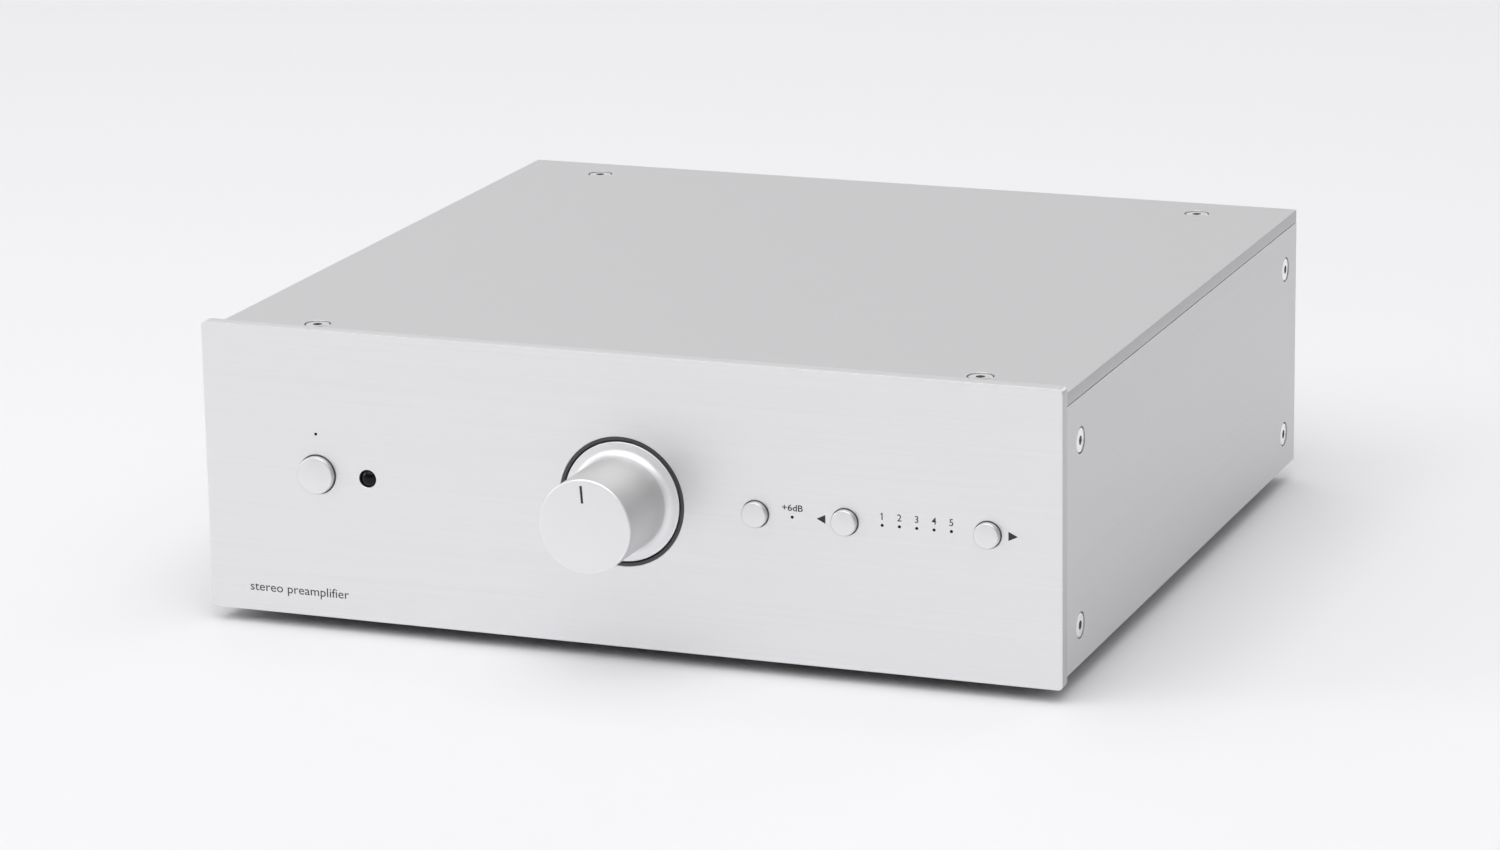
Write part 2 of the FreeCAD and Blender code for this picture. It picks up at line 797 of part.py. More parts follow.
def make_shaft():
    start = S.face_y + S.flange_thick + S.hub_long - S.knob_bore_deep
    length = S.face_y + S.shaft_behind - start
    keep(rod("volume_shaft", (0, start, S.line_z), S.shaft_radius, length, ALONG_Y),
         "volume_shaft")


def make_knob_ring():
    """Black sleeve that lines the knob's opening."""
    body = new_body("knob_ring", (0, S.face_y, S.line_z))
    outer = S.ring_outer - S.ring_fit
    turned(body, [(S.ring_inner, S.ring_sink), (outer, S.ring_sink), (outer, S.panel_thick),
                  (S.ring_inner, S.panel_thick)])
    keep(body, "knob_ring")


def make_potentiometer():
    """Bushing, nut, housing, gearbox and motor on a bracket across the front rails."""
    front, back = S.bracket_back, S.pot_back
    bushing_y = S.face_y + S.bushing_front
    half = S.pot_width / 2
    barrel = rod("bushing_barrel", (0, bushing_y, S.line_z), S.bushing_radius,
                 front - bushing_y, ALONG_Y)
    bore = rod("bushing_bore", (0, bushing_y, S.line_z), S.shaft_bore, front - bushing_y, ALONG_Y)
    keep(cut("volume_bushing", barrel, bore), "volume_bushing")
    nut_y = S.front_rail_back - S.nut_thick
    nut = hexagon("bushing_nut_solid", (0, nut_y, S.line_z), S.nut_radius, S.nut_thick, ALONG_Y)
    nut_bore = rod("bushing_nut_bore", (0, nut_y, S.line_z), S.bushing_radius, S.nut_thick,
                   ALONG_Y)
    keep(cut("bushing_nut", nut, nut_bore), "bushing_nut")
    case = block("pot_case", (-half, front, S.line_z - half), (S.pot_width, S.pot_deep, S.pot_width))
    well = rod("pot_well", (0, front, S.line_z), S.shaft_bore + 0.3,
               S.face_y + S.shaft_behind - front + 0.4, ALONG_Y)
    keep(cut("volume_potentiometer", case, well), "volume_potentiometer")
    keep(block("volume_gearbox", (-half, back, S.line_z - half),
               (S.pot_width, S.gearbox_deep, S.pot_width)), "volume_gearbox")
    keep(rod("volume_motor", (0, back + S.gearbox_deep, S.line_z), S.motor_radius, S.motor_long,
             ALONG_Y), "volume_motor")
    low = S.base_top + S.bracket_margin / 2
    sheet_metal = block("bracket_sheet", (-S.bracket_wide / 2, S.front_rail_back, low),
                        (S.bracket_wide, S.bracket_thick, S.cover_low - low - 3))
    holes = [rod("bracket_hole_{}".format(number), (x, S.front_rail_back, z), S.screw_hole_radius,
                 S.bracket_thick, ALONG_Y) for number, (x, z) in enumerate(bracket_spots())]
    holes.append(rod("bracket_bore", (0, S.front_rail_back, S.line_z), S.bushing_radius,
                     S.bracket_thick, ALONG_Y))
    keep(cut("volume_bracket", sheet_metal, *holes), "volume_bracket")


# ---------------------------------------------------------------- buttons and lights

def make_button(label, x, cap_radius):
    """A cap with a collar that the panel holds in, and a stem to its switch."""
    body = new_body(label, (x, S.face_y, S.line_z))
    collar = cap_radius + S.collar_proud
    front = S.panel_thick + S.collar_gap
    turning = turned(body, [(0, -S.cap_reach), (cap_radius, -S.cap_reach), (cap_radius, front),
                            (collar, front), (collar, S.cap_behind), (S.stem_radius, S.cap_behind),
                            (S.stem_radius, S.plunger_front), (0, S.plunger_front)])
    dress(body, "Fillet", "lip", turning, lambda edge, at: near(at.y, -S.cap_reach)
          and near(math.hypot(at.x, at.z), cap_radius), Radius=S.cap_round)
    keep(body, label)


def buttons():
    return (("power", S.power_x, S.power_cap), ("gain", S.gain_x, S.small_cap),
            ("input_down", S.down_x, S.small_cap), ("input_up", S.up_x, S.small_cap))


def make_buttons():
    wells = []
    for name, x, cap_radius in buttons():
        make_button(name + "_button", x, cap_radius)
        keep(rod(name + "_plunger", (x, S.face_y + S.plunger_front, S.line_z), S.plunger_radius,
                 S.plunger_back - S.plunger_front, ALONG_Y), name + "_plunger")
        half = S.switch_wide / 2
        deep = S.front_board_y - S.switch_front
        case = block(name + "_case", (x - half, S.face_y + S.switch_front, S.line_z - half),
                     (S.switch_wide, deep, S.switch_wide))
        well = rod(name + "_well", (x, S.face_y + S.switch_front, S.line_z), S.plunger_well,
                   S.well_back - S.switch_front, ALONG_Y)
        wells.append(cut(name + "_switch", case, well))
    group("switch_housings", wells)


def make_lights():
    """Light pipes: a pin through the panel and a thicker body back to its light."""
    pipe = new_body("pipe_master")
    thin, thick = S.pipe_radius, S.pipe_body
    shoulder = S.panel_thick + 0.1
    back = S.front_board_y - 1
    turned(pipe, [(0, 0), (thin, 0), (thin, shoulder), (thick, shoulder), (thick, back), (0, back)])
    chip_high = 0.8
    chip = block("chip_master", (-chip_high, 0, -chip_high / 2), (chip_high * 2, 0.8, chip_high))
    spots = [(x, S.line_z + up) for x, up in light_spots()]
    copies("light_pipes", pipe, [((x, S.face_y, z), ALONG_Z) for x, z in spots])
    copies("indicator_lights", chip,
           [((x - chip_high, S.board_y - 0.8, z - chip_high / 2), ALONG_Z) for x, z in spots])


def make_window():
    """Dark infrared lens with a shallow dome, and the receiver behind it."""
    body = new_body("infrared_window", (S.window_x, S.face_y, S.line_z))
    radius, lip = S.window_radius - 0.05, S.window_lip
    front, back = S.panel_thick + 0.05, S.panel_thick + 1.0
    turned(body, [(0, -S.window_dome), (radius * 0.6, -S.window_dome * 0.7), (radius, 0.1),
                  (radius, front), (lip, front), (lip, back), (0, back)])
    keep(body, "infrared_window")
    case = block("receiver_case", (S.window_x - 2.8, S.face_y + 6.5, S.line_z - 3.5),
                 (5.6, S.front_board_y - 6.5, 7))
    keep(case, "infrared_receiver")


# ---------------------------------------------------------------- boards

def make_front_board():
    low = S.line_z - S.front_board_high / 2
    card = block("front_card", (-S.front_board_half, S.board_y, low),
                 (S.front_board_half * 2, S.board_thick, S.front_board_high))
    holes = [rod("front_hole_{}".format(number), (x, S.board_y, S.line_z + z), S.screw_hole_radius,
                 S.board_thick, ALONG_Y) for number, (x, z) in enumerate(front_standoff_spots())]
    holes.append(rod("shaft_gap", (0, S.board_y, S.line_z), S.bushing_radius + 2, S.board_thick,
                     ALONG_Y))
    keep(cut("front_board", card, *holes), "front_board")


def make_standoffs():
    """Hexagon spacers with a stud at one end, under the main board and the front board."""
    length, bore = S.standoff_long, S.shank_radius
    spacer = hexagon("standoff_hex", (0, 0, 0), S.standoff_radius, length)
    stud = rod("standoff_pin", (0, 0, -S.standoff_stud), bore, S.standoff_stud)
    hole = rod("standoff_bore", (0, 0, length - S.short_screw), bore, S.short_screw)
    master = cut("standoff_master", fuse("standoff_solid", spacer, stud), hole)
    places = [((x, y, S.base_top), ALONG_Z) for x, y in main_standoff_spots()]
    places += [((x, S.panel_back, S.line_z + z), HEAD_REAR) for x, z in front_standoff_spots()]
    copies("board_standoffs", master, places)


def make_main_board():
    card = block("main_card", (-S.main_board_half, S.main_front, S.main_board_z),
                 (S.main_board_half * 2, S.main_rear - S.main_front, S.board_thick))
    holes = [rod("main_hole_{}".format(number), (x, y, S.main_board_z), S.screw_hole_radius,
                 S.board_thick) for number, (x, y) in enumerate(main_standoff_spots())]
    keep(cut("main_board", card, *holes), "main_board")


def on_main(name, middle, size):
    """A block standing on the main board: its middle and its width, depth and height."""
    x, y = middle
    return block(name, (x - size[0] / 2, y - size[1] / 2, S.main_top), size)


def make_components():
    """What stands on the main board."""
    cans = [rod("can_{}".format(number), (x, y, S.main_top), 8, 25)
            for number, (x, y) in enumerate([(-56, 8), (-38, 8), (-56, 30), (-38, 30)])]
    group("filter_capacitors", cans)
    films = [on_main("film_{}".format(number), (-14 + 12 * number, 44), (10, 7, 12))
             for number in range(4)]
    group("film_capacitors", films)
    relays = [on_main("relay_{}".format(number), (-60 + 20 * number, 66), (15, 11, 10))
              for number in range(6)]
    group("input_relays", relays)
    chips = [on_main("chip_{}".format(number), (-10 + 14 * number, 24), (5, 4, 1.6))
             for number in range(4)]
    chips.append(on_main("controller", (-46, -30), (12, 12, 1.6)))
    group("integrated_circuits", chips)
    base = on_main("sink_base", (62, 37), (4, 50, 26))
    fins = [on_main("sink_fin_{}".format(number), (70, 14.5 + 7.5 * number), (13, 2, 26))
            for number in range(7)]
    keep(fuse("heatsink", base, *fins), "heatsink")
    regulators = [on_main("regulator_{}".format(number), (57.75, 21 + 16 * number),
                          (4.5, 10, 18)) for number in range(3)]
    group("voltage_regulators", regulators)


def make_ribbon():
    """Flat cable from the back of the front board, bent down to the main board."""
    wide, thick, bend = 16, 1, 4
    left = -60
    socket_z, socket_high, socket_deep = 32, 6, 6
    front = S.board_back
    main_socket_y = S.main_front + 6
    middle_y = main_socket_y + socket_deep / 2
    top = S.main_top + 7
    turn_z = socket_z + socket_high / 2 + thick / 2
    group("board_connectors", [
        block("front_socket", (left - 1, front, socket_z), (wide + 2, socket_deep, socket_high)),
        block("main_socket", (left - 1, main_socket_y, S.main_top), (wide + 2, socket_deep, 7)),
    ])
    centre_y = middle_y + thick / 2 - bend
    centre_z = turn_z - bend
    start_y = front + socket_deep
    level = block("ribbon_level", (left, start_y, turn_z - thick), (wide, centre_y - start_y, thick))
    drop = block("ribbon_drop", (left, middle_y - thick / 2, top), (wide, thick, centre_z - top))
    outer = rod("ribbon_outer", (left, centre_y, centre_z), bend, wide, ALONG_X)
    inner = rod("ribbon_inner", (left, centre_y, centre_z), bend - thick, wide, ALONG_X)
    corner = block("ribbon_corner", (left, centre_y, centre_z), (wide, bend, bend))
    quarter = doc.addObject("Part::Common", "ribbon_quarter")
    quarter.Base = cut("ribbon_ring", outer, inner)
    quarter.Tool = corner
    keep(fuse("ribbon_cable", level, quarter, drop), "ribbon_cable")


# ---------------------------------------------------------------- rear sockets

def make_sockets():
    """RCA sockets: a moulded block per column, and a shell, insulator and contact each."""
    face, inner = S.rear_face, S.rear_inner
    blocks = []
    block_y = inner - S.socket_block_deep
    low = S.line_z - S.socket_block_high / 2
    for number, x in enumerate(column_x()):
        case = block("socket_case_{}".format(number), (x - S.socket_block_wide / 2, block_y, low),
                     (S.socket_block_wide, S.socket_block_deep, S.socket_block_high))
        wells = [rod("socket_well_{}_{}".format(number, row),
                     (x, block_y + 2, S.line_z + sign * S.socket_rise), S.contact_radius,
                     S.socket_block_deep - 2, ALONG_Y) for row, sign in enumerate((1, -1))]
        blocks.append(cut("socket_block_{}".format(number), case, *wells))
    group("socket_blocks", blocks)
    reach = S.socket_reach
    shell = new_body("shell_master")
    turned(shell, [(S.shell_bore, -S.rear_thick), (S.shell_radius, -S.rear_thick),
                   (S.shell_radius, 0), (S.shell_lip, 0), (S.shell_lip, S.shell_lip_thick),
                   (S.shell_radius, S.shell_lip_thick), (S.shell_radius, reach - 0.3),
                   (S.shell_radius - 0.3, reach), (S.shell_bore, reach)])
    sleeve = new_body("sleeve_master")
    turned(sleeve, [(S.contact_radius, -S.rear_thick), (S.shell_bore, -S.rear_thick),
                    (S.shell_bore, reach - 1), (S.contact_radius, reach - 1)])
    contact = new_body("contact_master")
    turned(contact, [(S.contact_bore, -S.rear_thick - 10), (S.contact_radius, -S.rear_thick - 10),
                     (S.contact_radius, reach - 1), (S.contact_bore, reach - 1)])
    spots = [((x, face, z), ALONG_Z) for x, z in socket_spots()]
    copies("rca_shells", shell, spots)
    copies("rca_sleeves_left", sleeve, spots[:COLUMNS])
    copies("rca_sleeves_right", sleeve, spots[COLUMNS:])
    copies("rca_contacts", contact, spots)


def make_small_sockets():
    """The trigger socket and the low-voltage inlet, each in its hole in the rear panel."""
    block_y = S.rear_inner - S.socket_block_deep
    high = 12
    for label, x, face_radius, bore, reach in (
            ("trigger_socket", S.trigger_x, S.trigger_collar - 0.1, S.trigger_bore, S.trigger_reach),
            ("power_inlet", S.inlet_x, S.inlet_face - 0.1, S.inlet_bore, S.inlet_reach)):
        case = block(label + "_case", (x - high / 2, block_y, S.line_z - high / 2),
                     (high, S.socket_block_deep, high))
        long = S.rear_thick + reach
        nose = rod(label + "_nose", (x, S.rear_inner, S.line_z), face_radius, long, ALONG_Y)
        well = rod(label + "_well", (x, block_y + 1.5, S.line_z), bore,
                   S.socket_block_deep - 1.5 + long, ALONG_Y)
        keep(cut(label, fuse(label + "_solid", case, nose), well), label)
    keep(rod("inlet_pin", (S.inlet_x, block_y + 1.5, S.line_z), S.inlet_pin, 11, ALONG_Y),
         "inlet_pin")


def make_socket_board():
    low = S.line_z - S.socket_block_high / 2
    rear = S.rear_inner - S.socket_block_deep
    keep(block("socket_board", (-90, rear - S.board_thick, low),
               (180, S.board_thick, S.socket_block_high)), "socket_board")


# ---------------------------------------------------------------- build and export

def build():
    make_front_panel()
    make_top_cover()
    make_side_panel("right_side_panel", 1)
    make_side_panel("left_side_panel", -1)
    make_bottom_plate()
    make_rear_panel()
    make_rails()
    make_feet()
    make_screws()
    make_knob()
    make_grub_screw()
    make_shaft()
    make_knob_ring()
    make_potentiometer()
    make_buttons()
    make_lights()
    make_window()
    make_front_board()
    make_standoffs()
    make_main_board()
    make_components()
    make_ribbon()
    make_sockets()
    make_small_sockets()
    make_socket_board()
    doc.recompute()


def check():
    """Stop if any object failed or any node's shape is unusable."""
    for thing in doc.Objects:
        if {"Invalid", "Error"} & set(thing.State):
            raise RuntimeError("{} failed: {}".format(thing.Name, thing.State))
    for node in NODES:
        if node.Shape.isNull() or not node.Shape.isValid() or not node.Shape.Solids:
            raise RuntimeError(node.Label + " has no valid shape")


def export():
    os.makedirs("parts", exist_ok=True)
    for node in NODES:
        node.Shape.exportStep("parts/{}.step".format(node.Label))
        box = node.Shape.BoundBox
        print("{:24s} {:3d} solids {:10.1f} mm3  x {:7.2f} {:7.2f}  y {:7.2f} {:7.2f}"
              "  z {:6.2f} {:6.2f}".format(node.Label, len(node.Shape.Solids), node.Shape.Volume,
                                          box.XMin, box.XMax, box.YMin, box.YMax, box.ZMin,
                                          box.ZMax))
    print(len(NODES), "nodes")


build()
check()
export()
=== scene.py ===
# %% [markdown]
# # A half-width stereo preamplifier
#
# This lesson dresses a working CAD model of a small hi-fi preamplifier. The model brings the
# case, the boards and everything that moves. Blender adds what a machinist and a finisher
# would: crisp bevels, brushed and anodised metal, turned knobs, printed marks and gold
# sockets. Each step below explains one piece or one finish, and then makes it.

# %% Load the model
import math

import bmesh
import bpy
from mathutils import Matrix, Vector
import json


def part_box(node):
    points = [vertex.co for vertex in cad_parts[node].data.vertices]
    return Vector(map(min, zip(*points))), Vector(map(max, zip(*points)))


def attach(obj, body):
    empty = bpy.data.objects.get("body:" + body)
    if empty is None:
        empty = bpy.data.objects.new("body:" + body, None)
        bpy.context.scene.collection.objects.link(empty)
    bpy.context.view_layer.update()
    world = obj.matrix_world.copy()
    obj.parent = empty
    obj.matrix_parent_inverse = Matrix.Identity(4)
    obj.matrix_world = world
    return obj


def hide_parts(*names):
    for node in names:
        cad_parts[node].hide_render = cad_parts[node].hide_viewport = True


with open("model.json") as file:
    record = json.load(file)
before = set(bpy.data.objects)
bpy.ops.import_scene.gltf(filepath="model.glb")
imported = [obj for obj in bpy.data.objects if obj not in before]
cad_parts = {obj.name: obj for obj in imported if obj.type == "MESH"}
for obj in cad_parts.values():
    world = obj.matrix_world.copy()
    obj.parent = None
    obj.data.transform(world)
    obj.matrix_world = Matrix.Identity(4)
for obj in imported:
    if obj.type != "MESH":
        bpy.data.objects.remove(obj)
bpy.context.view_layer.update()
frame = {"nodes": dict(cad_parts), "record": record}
nodes = frame["nodes"]
MM = 0.001

# %% [markdown]
# ## Where things are
#
# The model's own boxes give every place that the dressing needs, so nothing is measured
# twice. The faces of the plates and the line on which the controls sit are named here.

# %% Named places
def low(node):
    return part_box(node)[0]


def high(node):
    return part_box(node)[1]


def middle(node):
    return (low(node) + high(node)) / 2


panel_low, panel_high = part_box("front_panel")
FACE_Y = panel_low.y
PANEL_BACK = panel_high.y
PANEL_THICK = PANEL_BACK - FACE_Y
LINE_Z = middle("volume_knob").z
REAR_FACE = high("rear_panel").y
COVER_TOP = high("top_cover").z
WALL_THICK = high("right_side_panel").x - low("right_side_panel").x
print("controls sit", round(LINE_Z / MM, 2), "mm above the table")

# %% [markdown]
# ## The camera
#
# A long lens, a little to the right and a little above the controls, keeps the case's edges
# nearly parallel. The camera is placed by its bearing, its height angle and its distance
# from the point it looks at, and is rolled a little, because a hand-set tripod is never
# quite level.

# %% Camera
AZIMUTH, ELEVATION, ROLL = math.radians(21.166), math.radians(14.987), math.radians(-0.916)
LOOK_AT = Vector((8.95, -33.47, 41.19)) * MM
DISTANCE = 1.2
LENS, SENSOR = 124.05, 36.0


def add_object(name, data):
    """A new object at the origin, linked to the scene."""
    thing = bpy.data.objects.new(name, data)
    bpy.context.scene.collection.objects.link(thing)
    return thing


def camera_axes():
    """Right, up and back directions of the camera."""
    flat = math.cos(ELEVATION)
    back = Vector((math.sin(AZIMUTH) * flat, -math.cos(AZIMUTH) * flat, math.sin(ELEVATION)))
    level = Vector((0, 0, 1)).cross(back).normalized()
    upright = back.cross(level)
    right = math.cos(ROLL) * level + math.sin(ROLL) * upright
    return right, back.cross(right), back


def make_camera():
    data = bpy.data.cameras.new("camera")
    data.lens = LENS
    data.sensor_width = SENSOR
    camera = add_object("camera", data)
    right, upright, back = camera_axes()
    turn = Matrix((right, upright, back)).transposed().to_4x4()
    camera.matrix_world = Matrix.Translation(LOOK_AT + back * DISTANCE) @ turn
    bpy.context.scene.camera = camera
    return camera


print("camera at", [round(value, 3) for value in make_camera().matrix_world.translation])

# %% [markdown]
# ## The studio
#
# A silver box on a white sweep is lit almost entirely by reflections. A ceiling of soft
# boxes fills everything from above, and it is brightest at the front, so the floor is white
# right up to the front panel and the shadows fall softly backwards. One more stands low at
# the left, so the right side is quieter, and two stand low behind, for the surfaces that
# mirror the horizon. The room itself stays dim. Metal shows what surrounds it, so the white
# floor matters as much as the lamps.

# %% Studio
def area_light(name, place, target, size, power):
    data = bpy.data.lights.new(name, "AREA")
    data.shape = "RECTANGLE"
    data.size, data.size_y = size
    data.energy = power
    aim = (Vector(place) - Vector(target)).to_track_quat("Z", "Y").to_matrix().to_4x4()
    add_object(name, data).matrix_world = Matrix.Translation(place) @ aim


def make_world(strength):
    world = bpy.data.worlds.new("white_room")
    bpy.context.scene.world = world
    world.use_nodes = True
    room = world.node_tree.nodes["Background"]
    room.inputs["Color"].default_value = (0.98, 0.98, 1.0, 1)
    room.inputs["Strength"].default_value = strength


def make_floor(half):
    mesh = bpy.data.meshes.new("sweep")
    corners = [(-half, -half, 0), (half, -half, 0), (half, half, 0), (-half, half, 0)]
    mesh.from_pydata(corners, [], [(0, 1, 2, 3)])
    paper = bpy.data.materials.new("white_sweep")
    paper.use_nodes = True
    shader = paper.node_tree.nodes["Principled BSDF"]
    shader.inputs["Base Color"].default_value = (0.86, 0.858, 0.872, 1)
    shader.inputs["Roughness"].default_value = 0.9
    shader.inputs["Specular IOR Level"].default_value = 0.1
    mesh.materials.append(paper)
    add_object("sweep", mesh)


make_world(0.25)
make_floor(9.0)
SOFT_BOXES = {
    # name: (place, point it faces, width and height, watts)
    "ceiling_middle": ((0, 0, 2.3), (0, 0, 0), (2.4, 2.4), 17),
    "ceiling_front": ((0, -1.7, 2.2), (0, -1.0, 0), (2.4, 2.4), 29),
    "ceiling_front_left": ((-1.9, -1.7, 2.25), (-1.0, -1.0, 0), (2.4, 2.4), 14),
    "ceiling_front_right": ((1.9, -1.7, 2.25), (1.0, -1.0, 0), (2.4, 2.4), 14),
    "ceiling_back": ((0, 1.7, 2.2), (0, 1.0, 0), (2.4, 2.4), 6),
    "ceiling_back_left": ((-1.9, 1.7, 2.25), (-1.0, 1.0, 0), (2.4, 2.4), 9),
    "ceiling_back_right": ((1.9, 1.7, 2.25), (1.0, 1.0, 0), (2.4, 2.4), 6),
    "key_left": ((-2.8, -1.4, 1.0), (0, -0.4, 0.05), (1.4, 1.4), 17),
    "rear_low_left": ((-0.8, 3.0, 0.9), (0, 0, 0.05), (2.8, 1.2), 5),
    "rear_low_right": ((1.2, 3.0, 0.9), (0, 0, 0.05), (1.4, 1.2), 10),
}
for name, (place, target, size, power) in SOFT_BOXES.items():
    area_light(name, place, target, size, power)
bpy.context.scene.view_settings.view_transform = "Standard"
print("studio has", len(bpy.data.lights), "soft boxes")

# %% [markdown]
# ## Finishes
#
# Every finish below starts from the same shader. A few small functions add the parts that
# differ: a stretched noise is the grain that brushing leaves, rings about an axis are the
# marks of a lathe tool, and a fine noise is the tooth of a moulded or painted surface.
# Patterns use object coordinates, in metres, so their scale is the real one.

# %% Shader helpers
finishes = {}


def new_finish(name, colour, metallic, roughness, **sockets):
    """A material with one principled shader; constant values go straight on its sockets."""
    finish = bpy.data.materials.new(name)
    finish.use_nodes = True
    shader = finish.node_tree.nodes["Principled BSDF"]
    shader.inputs["Base Color"].default_value = (*colour, 1)
    shader.inputs["Metallic"].default_value = metallic
    shader.inputs["Roughness"].default_value = roughness
    for socket, value in sockets.items():
        shader.inputs[socket.replace("_", " ")].default_value = value
    finishes[name] = finish
    return finish.node_tree, shader


def add_node(tree, kind, **inputs):
    """A new node with its constant inputs set; a name's underscores stand for spaces."""
    node = tree.nodes.new(kind)
    for socket, value in inputs.items():
        node.inputs[socket.replace("_", " ")].default_value = value
    return node


def vector_math(tree, operation, vector, constant=(0, 0, 0)):
    node = tree.nodes.new("ShaderNodeVectorMath")
    node.operation = operation
    node.inputs[1].default_value = constant
    tree.links.new(vector, node.inputs[0])
    return node


def place_pattern(tree, scale=(1, 1, 1), centre=(0, 0, 0)):
    """Object coordinates, moved so that the pattern's centre is at the origin, then scaled."""
    coordinates = tree.nodes.new("ShaderNodeTexCoord").outputs["Object"]
    centred = vector_math(tree, "SUBTRACT", coordinates, centre).outputs[0]
    return vector_math(tree, "MULTIPLY", centred, scale).outputs[0]


def noise(tree, vector, scale, detail=2.0):
    texture = add_node(tree, "ShaderNodeTexNoise", Scale=scale, Detail=detail)
    tree.links.new(vector, texture.inputs["Vector"])
    return texture.outputs["Fac"]


def vary_roughness(tree, shader, value, middling, sway):
    """Let a 0 to 1 value swing the roughness a little either way."""
    remap = add_node(tree, "ShaderNodeMapRange", To_Min=middling - sway, To_Max=middling + sway)
    tree.links.new(value, remap.inputs["Value"])
    tree.links.new(remap.outputs["Result"], shader.inputs["Roughness"])


def relief(tree, shader, height, strength, distance):
    bump = add_node(tree, "ShaderNodeBump", Strength=strength, Distance=distance)
    tree.links.new(height, bump.inputs["Height"])
    tree.links.new(bump.outputs["Normal"], shader.inputs["Normal"])


def shade(tone, blue=1.0):
    """A near-neutral colour."""
    return (tone, tone, min(1.0, tone * blue))


# %% [markdown]
# ## Brushed and anodised plates
#
# The plates are sheet aluminium, brushed along their length, then etched and anodised. The
# etch softens the grain until it only shows as very fine streaks, and spreads reflections
# wide. Two stretched noises make it: a fine one for single scratches and a coarse one for
# the belt's passes. The grain runs along X on the front, rear and top plates and along Y on
# the side plates, so the finish takes its direction as an argument. Each plate has its own
# tones, one for each direction, and the normal tells which one a point gets. These tones are
# painted shade: each rim and each plate is lighter or darker by how much light falls on it.

# %% Anodised plate finish
def mix_colours(tree, factor, first, second):
    """A colour between two colours, each a constant tone or another node's output."""
    blend = tree.nodes.new("ShaderNodeMix")
    blend.data_type = "RGBA"
    tree.links.new(factor, blend.inputs["Factor"])
    for socket, colour in (("A", first), ("B", second)):
        if isinstance(colour, tuple):
            blend.inputs[socket].default_value = (*colour, 1)
        else:
            tree.links.new(colour, blend.inputs[socket])
    return blend.outputs["Result"]


def two_tones(tree, factor, tone, contrast, blue=1.0):
    """A grey that swings either way about its middle tone."""
    return mix_colours(tree, factor, shade(tone * (1 - contrast), blue),
                       shade(tone * (1 + contrast), blue))


def facing_mask(tree, axis, start=0.55, full=0.85):
    """1 where the object's own normal runs along an axis and 0 where it runs across it; it places
    painted shade by facing.
    """
    coordinates = tree.nodes.new("ShaderNodeTexCoord")
    parts = tree.nodes.new("ShaderNodeSeparateXYZ")
    tree.links.new(coordinates.outputs["Normal"], parts.inputs[0])
    size = tree.nodes.new("ShaderNodeMath")
    size.operation = "ABSOLUTE"
    tree.links.new(parts.outputs[axis], size.inputs[0])
    remap = add_node(tree, "ShaderNodeMapRange", From_Min=start, From_Max=full)
    tree.links.new(size.outputs[0], remap.inputs["Value"])
    return remap.outputs["Result"]


BLUE = 1.009  # anodised aluminium is a touch cooler than grey
TOOL_MARK = 0.02 * MM


def brushed_plate(name, grain, tones, roughness, contrast=0.03, metallic=1.0):
    """Anodised sheet brushed along one axis, with a tone of painted shade for what faces X, Y and
    Z.
    """
    tree, shader = new_finish(name, shade(tones["Z"], BLUE), metallic, roughness)
    run, across = 12.0, 2600.0  # streaks per metre along the grain and across it
    scale = (run, across, across) if grain == "X" else (across, run, across)
    scratches = noise(tree, place_pattern(tree, scale), 1.0, 3.0)
    passes = noise(tree, place_pattern(tree, tuple(part / 9 for part in scale)), 1.0, 2.0)
    colours = {axis: two_tones(tree, scratches, tone, contrast, BLUE)
               for axis, tone in tones.items()}
    level = mix_colours(tree, facing_mask(tree, "Y"), colours["Z"], colours["Y"])
    tree.links.new(mix_colours(tree, facing_mask(tree, "X"), level, colours["X"]),
                   shader.inputs["Base Color"])
    vary_roughness(tree, shader, passes, roughness, 0.02)
    relief(tree, shader, scratches, 0.10, TOOL_MARK)


# The tones per direction and per plate are painted shade, set by how much light each surface gets.
brushed_plate("front_anodised", "X", {"X": 0.575, "Y": 0.875, "Z": 0.89}, roughness=0.42)
brushed_plate("cover_anodised", "X", {"X": 0.49, "Y": 0.65, "Z": 0.725}, roughness=0.42,
              contrast=0.02, metallic=0.75)
brushed_plate("side_anodised", "Y", {"X": 0.645, "Y": 0.60, "Z": 0.60}, roughness=0.42)
brushed_plate("rear_anodised", "X", {"X": 0.62, "Y": 0.80, "Z": 0.80}, roughness=0.45)
print("plate finishes:", sorted(finishes))

# %% [markdown]
# ## Turned parts
#
# The knob and the buttons are turned on a lathe and anodised too. Their grain runs round the
# axis, so the pattern is a noise read along the distance from the axis. The axis is the
# piece's own, and the pattern stays put when the piece turns, as real tool marks do. Their
# sides get a darker tone than their faces, which is painted shade.

# %% Turned finish
FACE_BLUE = 1.01  # a turned face is as cool as the plates, its side is a plain grey


def turned_metal(name, centre, tone, shaded_side_tone, roughness, turn=(0.1, 0.5), grain=9000.0):
    """Anodised bar turned about Y, its side darker than its face as painted shade; turn is where
    the side's tone passes into the face's.
    """
    tree, shader = new_finish(name, shade(tone, FACE_BLUE), 1.0, roughness)
    distance = vector_math(tree, "LENGTH", place_pattern(tree, (1, 0, 1), centre))
    depth = tree.nodes.new("ShaderNodeSeparateXYZ")
    tree.links.new(place_pattern(tree, (1, 1, 1), centre), depth.inputs[0])
    position = tree.nodes.new("ShaderNodeCombineXYZ")
    tree.links.new(distance.outputs["Value"], position.inputs["X"])
    tree.links.new(depth.outputs["Y"], position.inputs["Y"])
    rings = noise(tree, position.outputs[0], grain, 2.0)
    face = two_tones(tree, rings, tone, 0.02, FACE_BLUE)
    side = two_tones(tree, rings, shaded_side_tone, 0.02)
    tree.links.new(mix_colours(tree, facing_mask(tree, "Y", *turn), side, face),
                   shader.inputs["Base Color"])
    vary_roughness(tree, shader, rings, roughness, 0.03)
    relief(tree, shader, rings, 0.08, TOOL_MARK)


print("the knob's axis passes through x =", round(middle("volume_knob").x / MM, 3))

